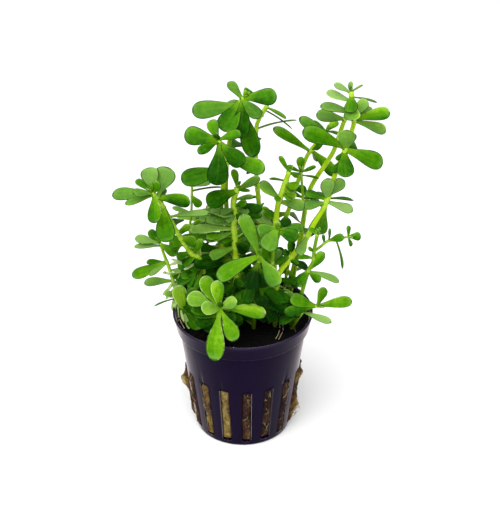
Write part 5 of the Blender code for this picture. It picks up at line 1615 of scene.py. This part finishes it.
@dataclass
class NetPot:
    """The slotted pot, as one closed wall with a stepped, flared collar."""

    slot_cells: int = 6
    rib_cells: int = 6
    corner: float = 0.7
    corner_steps: int = 4
    creased: tuple[int, ...] = (2, 14, 15)
    crease_start: float = 0.6
    crease_length: float = 6.0
    crease_width: float = 0.5
    crease_depth: float = 0.4
    lip_foot: float = 49.2
    lip_blend: float = 0.6
    edge_round: float = 0.22
    edge_steps: int = 2
    edge_angle: float = math.radians(50.0)

    def heights_in_slot(self) -> Points:
        """Lay out the rows of the grid between a slot's foot and its head.

        Returns:
            Their heights, close together in the slot's corners.
        """
        bend = np.linspace(0.0, 0.25 * TURN, self.corner_steps + 1)
        low = SLOT_FOOT + self.corner * (1.0 - np.cos(bend))
        high = SLOT_HEAD - low[::-1] + SLOT_FOOT
        middle = np.linspace(low[-1], high[0], 14)[1:-1]
        return np.concatenate((low, middle, high))

    def half_slot(self, height: Points) -> Points:
        """Work out half the slot's width w with round corners c: w - c + sqrt(c² - d²).

        Args:
            height: Heights above the ground.

        Returns:
            Half the width there, where d is how far the height reaches into a corner.
        """
        held = np.clip(height, SLOT_FOOT, SLOT_HEAD)
        into = np.maximum(self.corner - (held - SLOT_FOOT), self.corner - (SLOT_HEAD - held))
        into = np.clip(into, 0.0, self.corner)
        return 0.5 * SLOT_WIDTH - self.corner + np.sqrt(self.corner**2 - into**2)

    def profile(self) -> tuple[Points, int, int, int]:
        """Return the wall's (radius, height) rows from its underside over the rim to its floor.

        Returns:
            The rows, the first slot row outside, the first slot row inside, and the number of slot rows.
        """
        slot = self.heights_in_slot()
        base, inner = BASE_RADIUS, wall_radius(BASE_THICKNESS) - WALL
        under = [(8.0, 0.0), (14.0, 0.0), (base - 0.7, 0.0), (base - 0.25, 0.1), (base + 0.02, 0.45),
                 (base + 0.1, 1.2)]
        neck = on_wall((28.4, 30.0, 32.0, 35.0, 38.0, 41.0, 43.2, 43.6))
        step = [(23.9, 43.8), (24.1, 43.85), (24.9, 43.86), (25.0, 43.92), (25.03, 44.0), (25.1, 44.4)]
        collar = [(25.25, 45.2), (25.5, 46.4), (25.75, 47.6), (26.0, 48.8), (26.2, 49.5)]
        rim = [(26.15, 49.85), (25.95, POT_HEIGHT), (25.6, 49.95), (25.35, 49.6)]
        throat = [(25.0, 47.9), (24.75, 47.0), (24.1, 46.2), (23.1, 45.7)]
        within = on_wall((44.0, 40.0, 36.0, 32.0, 28.0), WALL)
        floor = [(inner, BASE_THICKNESS + 0.3), (inner - 0.4, BASE_THICKNESS), (12.0, BASE_THICKNESS)]
        above = neck + step + collar + rim + throat + within
        rows = under + on_wall(slot) + above + on_wall(slot[::-1], WALL) + floor
        return np.array(rows), len(under), len(under) + len(slot) + len(above), len(slot)

    def grid(self, rows: Points) -> Points:
        """Work out the wall's points on a grid of profile rows and columns round the pot.

        A column's angle depends on the row, so that slots keep parallel sides: inside a slot it runs from
        -asin(half / radius) to +asin(half / radius), and between slots it is spread over the rib.

        Args:
            rows: The profile's (radius, height) rows.

        Returns:
            The points, shaped (rows, columns, 3).
        """
        radius, height = rows[:, :1], rows[:, 1:]
        edge = np.arcsin(self.half_slot(height) / radius)
        cells = self.slot_cells + self.rib_cells
        column = np.arange(SLOT_COUNT * cells)[None]
        local = column % cells
        in_slot = -edge + 2.0 * edge * local / self.slot_cells
        on_rib = edge + (SLOT_PITCH - 2.0 * edge) * (local - self.slot_cells) / self.rib_cells
        off_middle = np.where(local <= self.slot_cells, in_slot, on_rib)
        return around_axis(radius, FIRST_SLOT + SLOT_PITCH * (column // cells) + off_middle, height)

    def creases(self, points: Points) -> Points:
        """Work out bell curves over the creases that run up from the left corners of some slots.

        The pot's finish paints these creases dark, as painted shade.

        Args:
            points: Points of the wall.

        Returns:
            How deep each point lies in a crease, 1 at the bottom of one.
        """
        angle = np.arctan2(points[:, 1], points[:, 0])
        over = points[:, 2] - SLOT_HEAD
        start = smoothstep((over + self.crease_start) / self.crease_start)
        length = start * (1.0 - smoothstep(over / self.crease_length))
        total = np.zeros(len(points))
        for slot in self.creased:
            aside = off_slot(angle, slot) * wall_radius(points[:, 2])
            off_corner = aside + 0.5 * SLOT_WIDTH - self.corner
            total += np.exp(-((off_corner / self.crease_width) ** 2)) * length
        return total

    def faces(self, rows: int, outer: int, inner: int, slot_rows: int) -> list[list[int]]:
        """List the wall's faces: the grid without its slots, the slots' sides, and both poles' fans.

        Args:
            rows: Number of profile rows.
            outer: First slot row outside.
            inner: First slot row inside.
            slot_rows: Number of slot rows.

        Returns:
            The corners of each face, with the poles' points after the grid's.
        """
        cells = self.slot_cells + self.rib_cells
        around = SLOT_COUNT * cells
        index = np.arange(rows * around).reshape(rows, around)
        after = np.roll(index, -1, axis=1)
        quads = np.stack((index[:-1], after[:-1], after[1:], index[1:]), -1)
        solid = np.ones((rows - 1, around), bool)
        open_columns = np.arange(around) % cells < self.slot_cells
        for first in (outer, inner):
            solid[first:first + slot_rows - 1, open_columns] = False
        made = quads[solid].tolist()
        out_rows = index[outer:outer + slot_rows]
        in_rows = index[inner:inner + slot_rows][::-1]
        left = np.arange(SLOT_COUNT) * cells
        for columns, flip in ((left, 1), (left + self.slot_cells, -1)):
            out_line, in_line = out_rows[:, columns], in_rows[:, columns]
            walls = np.stack((out_line[:-1], out_line[1:], in_line[1:], in_line[:-1]), -1)
            made += walls.reshape(-1, 4)[:, ::flip].tolist()
        span = (left[:, None] + np.arange(self.slot_cells)).ravel()
        for row, flip in ((0, -1), (-1, 1)):
            out_line, in_line = out_rows[row], in_rows[row]
            walls = np.stack((out_line[span], out_line[span + 1], in_line[span + 1], in_line[span]), -1)
            made += walls[:, ::flip].tolist()
        under, floor = rows * around, rows * around + 1
        made += np.stack((np.full(around, under), after[0], index[0]), -1).tolist()
        made += np.stack((np.full(around, floor), index[-1], after[-1]), -1).tolist()
        return made

    def build(self) -> None:
        """Build the pot and round its edges."""
        rows, outer, inner, slot_rows = self.profile()
        points = self.grid(rows).reshape(-1, 3)
        points = np.vstack((points, (0.0, 0.0, 0.0), (0.0, 0.0, BASE_THICKNESS)))
        # The creases dent the wall, and the finish also paints them dark as shade
        creases = self.creases(points)
        points[:, :2] *= 1.0 - self.crease_depth * creases[:, None] / SHOULDER_RADIUS
        # painted highlight mask along the lip's top
        lip = smoothstep((points[:, 2] - self.lip_foot) / self.lip_blend)
        faces = self.faces(len(rows), outer, inner, slot_rows)
        wall = Surface(points, faces, {"crease": creases, "lip": lip})
        pot = make_piece("net_pot", wall, PotFinish().make(), ["pot"])
        rounding = pot.modifiers.new("rounding", "BEVEL")
        rounding.width = self.edge_round * MM
        rounding.segments = self.edge_steps
        rounding.limit_method = "ANGLE"
        rounding.angle_limit = self.edge_angle


@dataclass(frozen=True)
class Root:
    """A thin root lying on the soil: the places on the card that it passes, its thickness and its tone."""

    course: tuple[Place, ...]
    thickness: float
    tone: float


ROOTS: tuple[Root, ...] = (
    Root(((13.3, -2.4), (13.5, -4.6), (13.9, -7.4), (13.2, -9.8), (12.3, -11.4)), 0.3, 1.0),
    Root(((14.2, -2.2), (14.6, -4.8), (15.1, -7.4), (14.5, -9.6), (13.4, -11.4)), 0.28, 1.0),
    Root(((19.6, -3.6), (19.4, -6.4), (19.7, -8.6)), 0.2, 0.55),
    Root(((15.8, -3.8), (16.6, -5.6), (17.9, -7.2)), 0.18, 0.45),
    Root(((-26.2, 2.4), (-25.4, -1.0), (-24.4, -4.4)), 0.4, 0.9),
    Root(((-25.6, 1.6), (-23.8, -3.4), (-21.6, -7.6)), 0.42, 1.0),
    Root(((-24.6, 0.8), (-23.0, -2.6), (-21.8, -5.6)), 0.3, 0.8),
    Root(((-25.8, 0.4), (-24.8, -2.6), (-22.6, -5.2)), 0.26, 0.7),
)


@dataclass(frozen=True)
class Tuft:
    """A tuft of wool that pushes out of a slot: the slot's number, and the tuft's height and size."""

    slot: int
    height: float
    size: float


@dataclass
class Filling:
    """What fills the pot: mineral wool that swells into the slots, soil with crumbs, and thin roots.

    A slot tone is a slot's number and the change of the wool's tone there. A skirt row is (radius, height)
    on the soil's side, under its rough top.
    """

    wool_columns: int = 480
    wool_rows: int = 90
    clearance: float = 0.35
    swell: float = 1.2
    side_swell: float = 1.2
    side_blend: float = 0.5
    end_blend: float = 1.2
    tufts: tuple[Tuft, ...] = (Tuft(12, 19.3, 1.9), Tuft(3, 9.6, 2.6), Tuft(4, 19.5, 1.9))
    tuft_swell: float = 2.1
    tuft_width: float = 1.25
    tuft_reach: float = 1.6
    wool_tone: float = 0.24
    slot_tones: tuple[tuple[int, float], ...] = ((15, 0.44), (14, 0.2), (1, -0.06), (2, -0.14))
    slot_tone_angle: float = 0.16
    fibres: int = 600
    fibre_lengths: Span = (1.0, 3.6)
    fibre_radii: Span = (0.03, 0.06)
    soil_columns: int = 220
    skirt: tuple[Span, ...] = ((24.2, 46.7), (22.4, 45.9), (22.3, 44.6), (21.2, 33.6))
    crumbs: int = 700
    crumb_sizes: Span = (0.18, 0.75)
    crumb_reach: float = 24.2
    specks: int = 26
    speck_sizes: Span = (0.12, 0.26)
    speck_start: float = 22.6
    speck_spread: float = 0.35

    def wool_radius(self, angle: Points, height: Points) -> Points:
        """Return the wool's radius: inside the wall, swollen in each slot, with tufts and lumps.

        Args:
            angle: Direction round the pot.
            height: Height above the ground.

        Returns:
            The radius in that direction at that height.
        """
        wall = wall_radius(height)
        nearest = np.round((angle - FIRST_SLOT) / SLOT_PITCH)
        off = (angle - FIRST_SLOT - nearest * SLOT_PITCH) * wall
        open_share = smoothstep((0.5 * SLOT_WIDTH - 0.05 - np.abs(off)) / self.side_blend)
        open_share = open_share * smoothstep((height - SLOT_FOOT) / self.end_blend)
        open_share = open_share * smoothstep((SLOT_HEAD - height) / self.end_blend)
        lumps = ripples(angle * 21.0, height, 5, 4.0)
        radius = wall - WALL - self.clearance + np.minimum(0.25 * lumps, 0.2)
        sideways = np.cos(angle) ** 2
        radius = radius + open_share * (self.swell + self.side_swell * sideways + 0.3 * lumps - 0.2)
        return radius + self.tuft_bells(angle, height) * (self.tuft_swell + 0.45 * lumps)

    def tuft_bells(self, angle: Points, height: Points) -> Points:
        """Work out bell curves over the places where a tuft pushes out.

        Args:
            angle: Direction round the pot.
            height: Height above the ground.

        Returns:
            The bells' height there, about 1 at a tuft's middle.
        """
        total = np.zeros(np.broadcast(angle, height).shape)
        for tuft in self.tufts:
            aside = off_slot(angle, tuft.slot) * wall_radius(height) / self.tuft_width
            above = (height - tuft.height) / (self.tuft_reach * tuft.size)
            total += 0.45 * tuft.size * np.exp(-(aside**2) - above**2)
        return total

    def build_wool(self) -> None:
        """Build the plug of mineral wool as a grid of direction and height."""
        angle = (TURN * np.arange(self.wool_columns) / self.wool_columns)[None]
        height = np.linspace(PLUG_FOOT, PLUG_TOP, self.wool_rows)[:, None]
        rings = around_axis(self.wool_radius(angle, height), angle, height)
        tone = self.wool_tone + 0.1 * np.cos(angle) ** 2 + self.tuft_bells(angle, height) * 0.5
        for slot, change in self.slot_tones:
            tone = tone + change * np.exp(-((off_slot(angle, slot) / self.slot_tone_angle) ** 2))
        surface = closed_skin(rings, PLUG_FOOT * UP, PLUG_TOP * UP, {"tone": tone})
        make_piece("wool_plug", surface, WoolFinish().make(), ["rockwool_plug"])

    def fibre(self, draw: Draw) -> Surface:
        """Lay one loose fibre over the wool in a slot.

        Args:
            draw: Random numbers for its place and form.

        Returns:
            The fibre as a closed tube.
        """
        share = np.linspace(0.0, 1.0, 6)
        middle = FIRST_SLOT + draw.integers(SLOT_COUNT) * SLOT_PITCH
        height = draw.uniform(SLOT_FOOT + 1.0, SLOT_HEAD - 1.0)
        reach = (share - 0.5) * draw.uniform(*self.fibre_lengths)
        lean = draw.normal(0.0, 0.7)
        sway = draw.uniform(-0.8, 0.8)
        heights = np.clip(height + reach * math.cos(lean), SLOT_FOOT + 0.5, SLOT_HEAD - 0.4)
        aside = draw.uniform(-1.2, 1.2) + reach * math.sin(lean) + sway * np.sin(3.0 * share)
        angles = middle + np.clip(aside, -1.55, 1.55) / wall_radius(heights)
        radii = self.wool_radius(angles, heights) + 0.05 + 0.25 * draw.random() * np.sin(math.pi * share)
        thick = np.full(len(share), draw.uniform(*self.fibre_radii))
        tone = np.full(len(share), 0.85 * draw.uniform(0.0, 1.0) ** 2)
        return tube(around_axis(radii, angles, heights), thick, 4, {"tone": tone})

    def build_fibres(self, material: Material) -> None:
        """Build loose fibres and fine roots that wander over the wool in the slots.

        Args:
            material: Their material.
        """
        draw = np.random.default_rng(21)
        strands = [self.fibre(draw) for _ in range(self.fibres)]
        make_piece("wool_fibres", joined(strands), material, ["rockwool_plug"])

    def soil_height(self, x: Points, y: Points) -> Points:
        """Work out the soil's height: a level with lumps that die out at the rim.

        Args:
            x: Distance to the right of the pot's axis.
            y: Distance behind it.

        Returns:
            The height of the soil there.
        """
        calm = smoothstep((SOIL_RADIUS - np.hypot(x, y)) / 2.5)
        return SOIL_TOP + 0.35 + 0.55 * calm * ripples(x, y, 8, 3.5, 26) + 0.25 * calm

    def build_soil(self) -> None:
        """Build the soil as a rough disc with crumbs and specks lying on it."""
        turn = (TURN * np.arange(self.soil_columns) / self.soil_columns)[None]
        radius = np.concatenate((np.linspace(0.6, 22.0, 46), np.linspace(22.4, SOIL_RADIUS, 7)))[:, None]
        top = around_axis(radius, turn, self.soil_height(radius * np.cos(turn), radius * np.sin(turn)))
        rings = np.concatenate([top] + [around_axis(away, turn, height) for away, height in self.skirt])
        none = np.zeros(rings.shape[:2])
        centre = float(self.soil_height(np.zeros(1), np.zeros(1))[0]) * UP
        disc = closed_skin(rings, centre, self.skirt[-1][1] * UP, {"pale": none})
        bed = joined([disc] + self.crumb_surfaces())
        make_piece("soil_bed", bed, SoilFinish().make(), ["soil"])

    def build_roots(self, material: Material) -> None:
        """Build the thin roots that lie on the soil.

        Args:
            material: Their material.
        """
        strands = []
        for root in ROOTS:
            lying = np.array([sighted_level(*place, SOIL_TOP + 0.6) for place in root.course])
            route = smooth_route(lying, 0.5)
            away = np.maximum(np.hypot(route[:, 0], route[:, 1]), 1.0)
            route[:, :2] *= np.minimum(1.0, (SOIL_RADIUS - 0.3) / away)[:, None]
            route[:, 2] = self.soil_height(route[:, 0], route[:, 1]) + 0.3 * root.thickness
            share = np.linspace(0.0, 1.0, len(route))
            radii = 0.5 * root.thickness * (1.0 - 0.4 * share)
            strands.append(tube(route, radii, 7, {"tone": np.full(len(route), root.tone)}))
        make_piece("surface_roots", joined(strands), material, ["soil"])

    def crumb_surfaces(self) -> list[Surface]:
        """Scatter crumbs all over the soil, and pale specks along its front edge.

        Returns:
            The crumbs and specks, each a small uneven lump.
        """
        draw = np.random.default_rng(31)
        made = []
        for index in range(self.crumbs):
            pale = index < self.specks
            away = self.crumb_reach * math.sqrt(draw.uniform(0.03, 0.985))
            turn = draw.uniform(0.0, TURN)
            if pale:
                away = draw.uniform(self.speck_start, self.crumb_reach)
                turn = FIRST_SLOT + draw.normal(0.0, self.speck_spread)
            size = draw.uniform(*(self.speck_sizes if pale else self.crumb_sizes))
            x, y = away * math.cos(turn), away * math.sin(turn)
            z = float(self.soil_height(np.array([x]), np.array([y]))[0]) + 0.2 * size
            made.append(lump(np.array((x, y, z)), size, float(pale), draw))
        return made

    def build(self) -> None:
        """Build the wool, its fibres, the roots and the soil."""
        self.build_wool()
        root_skin = RootFinish().make()
        self.build_fibres(root_skin)
        self.build_roots(root_skin)
        self.build_soil()


def lump(centre: Points, size: float, pale: float, draw: Draw) -> Surface:
    """Work out an uneven lump: two rings of five points and two poles, the rings pushed in or out at random.

    Args:
        centre: Its middle.
        size: About half its width.
        pale: 1 for a pale speck, or 0.
        draw: Random numbers for its form.

    Returns:
        The closed lump.
    """
    turn = TURN * np.arange(5) / 5 + draw.uniform(0.0, TURN)
    levels = ((0.0, -0.4), (0.6, 0.45))
    rings = np.stack([around_axis(1.0, turn + twist, height) for twist, height in levels])
    rings = rings * draw.uniform(0.65, 1.15, (2, 5, 1)) * size * np.array((1.0, 1.0, 0.75))
    ends = np.array(((0.0, 0.0, -0.8), (0.0, 0.0, 0.85))) * size
    return closed_skin(centre + rings, centre + ends[0], centre + ends[1], {"pale": np.full((2, 5), pale)})


@dataclass
class Studio:
    """The pale floor, the soft light and the camera, with the lamp's sizes in watts and metres."""

    floor_size: float = 6000.0
    sky: float = 0.55
    lamp_power: float = 20.5
    lamp_size: float = 1.4
    lamp_place: Triple = (-0.18, -0.52, 1.0)
    lamp_turn: Triple = (math.radians(30.0), 0.0, math.radians(-18.0))

    def build_floor(self) -> None:
        """Build the floor as a large square."""
        half = 0.5 * self.floor_size * MM
        corners = [(-half, -half, 0.0), (half, -half, 0.0), (half, half, 0.0), (-half, half, 0.0)]
        mesh = bpy.data.meshes.new("floor")
        mesh.from_pydata(corners, [], [(0, 1, 2, 3)])
        mesh.materials.append(FloorFinish().make())
        floor = bpy.data.objects.new("floor", mesh)
        bpy.context.scene.collection.objects.link(floor)

    def build_light(self) -> None:
        """Light the scene with a white surrounding and a large soft lamp high up in front."""
        world = bpy.data.worlds.new("studio")
        world.use_nodes = True
        background = world.node_tree.nodes["Background"]
        background.inputs["Strength"].default_value = self.sky
        background.inputs["Color"].default_value = (1.0, 1.0, 1.0, 1.0)
        bpy.context.scene.world = world
        lamp = bpy.data.lights.new("softbox", "AREA")
        lamp.energy = self.lamp_power
        lamp.size = self.lamp_size
        box = bpy.data.objects.new("softbox", lamp)
        box.location = self.lamp_place
        box.rotation_euler = self.lamp_turn
        bpy.context.scene.collection.objects.link(box)

    def build_camera(self) -> None:
        """Set the camera at the eye, looking down by the card's lean."""
        optics = bpy.data.cameras.new("camera")
        optics.lens = LENS_LENGTH
        camera = bpy.data.objects.new("camera", optics)
        camera.location = EYE * MM
        camera.rotation_euler = (0.25 * TURN - CARD_LEAN, 0.0, 0.0)
        bpy.context.scene.collection.objects.link(camera)
        bpy.context.scene.camera = camera
        bpy.context.scene.view_settings.view_transform = "Standard"

    def build(self) -> None:
        """Build the floor, the light and the camera."""
        self.build_floor()
        self.build_light()
        self.build_camera()


def main() -> None:
    """Build the pot, its filling, the shoots and the studio."""
    logging.basicConfig(level=logging.INFO, format="%(message)s")
    NetPot().build()
    Filling().build()
    draw = np.random.default_rng(7)
    stem_skin, leaf_skin = StemFinish().make(), LeafFinish().make()
    for shoot in SHOOTS:
        ShootBuilder(shoot, draw).build(stem_skin, leaf_skin)
    Studio().build()


if __name__ == "__main__":
    main()
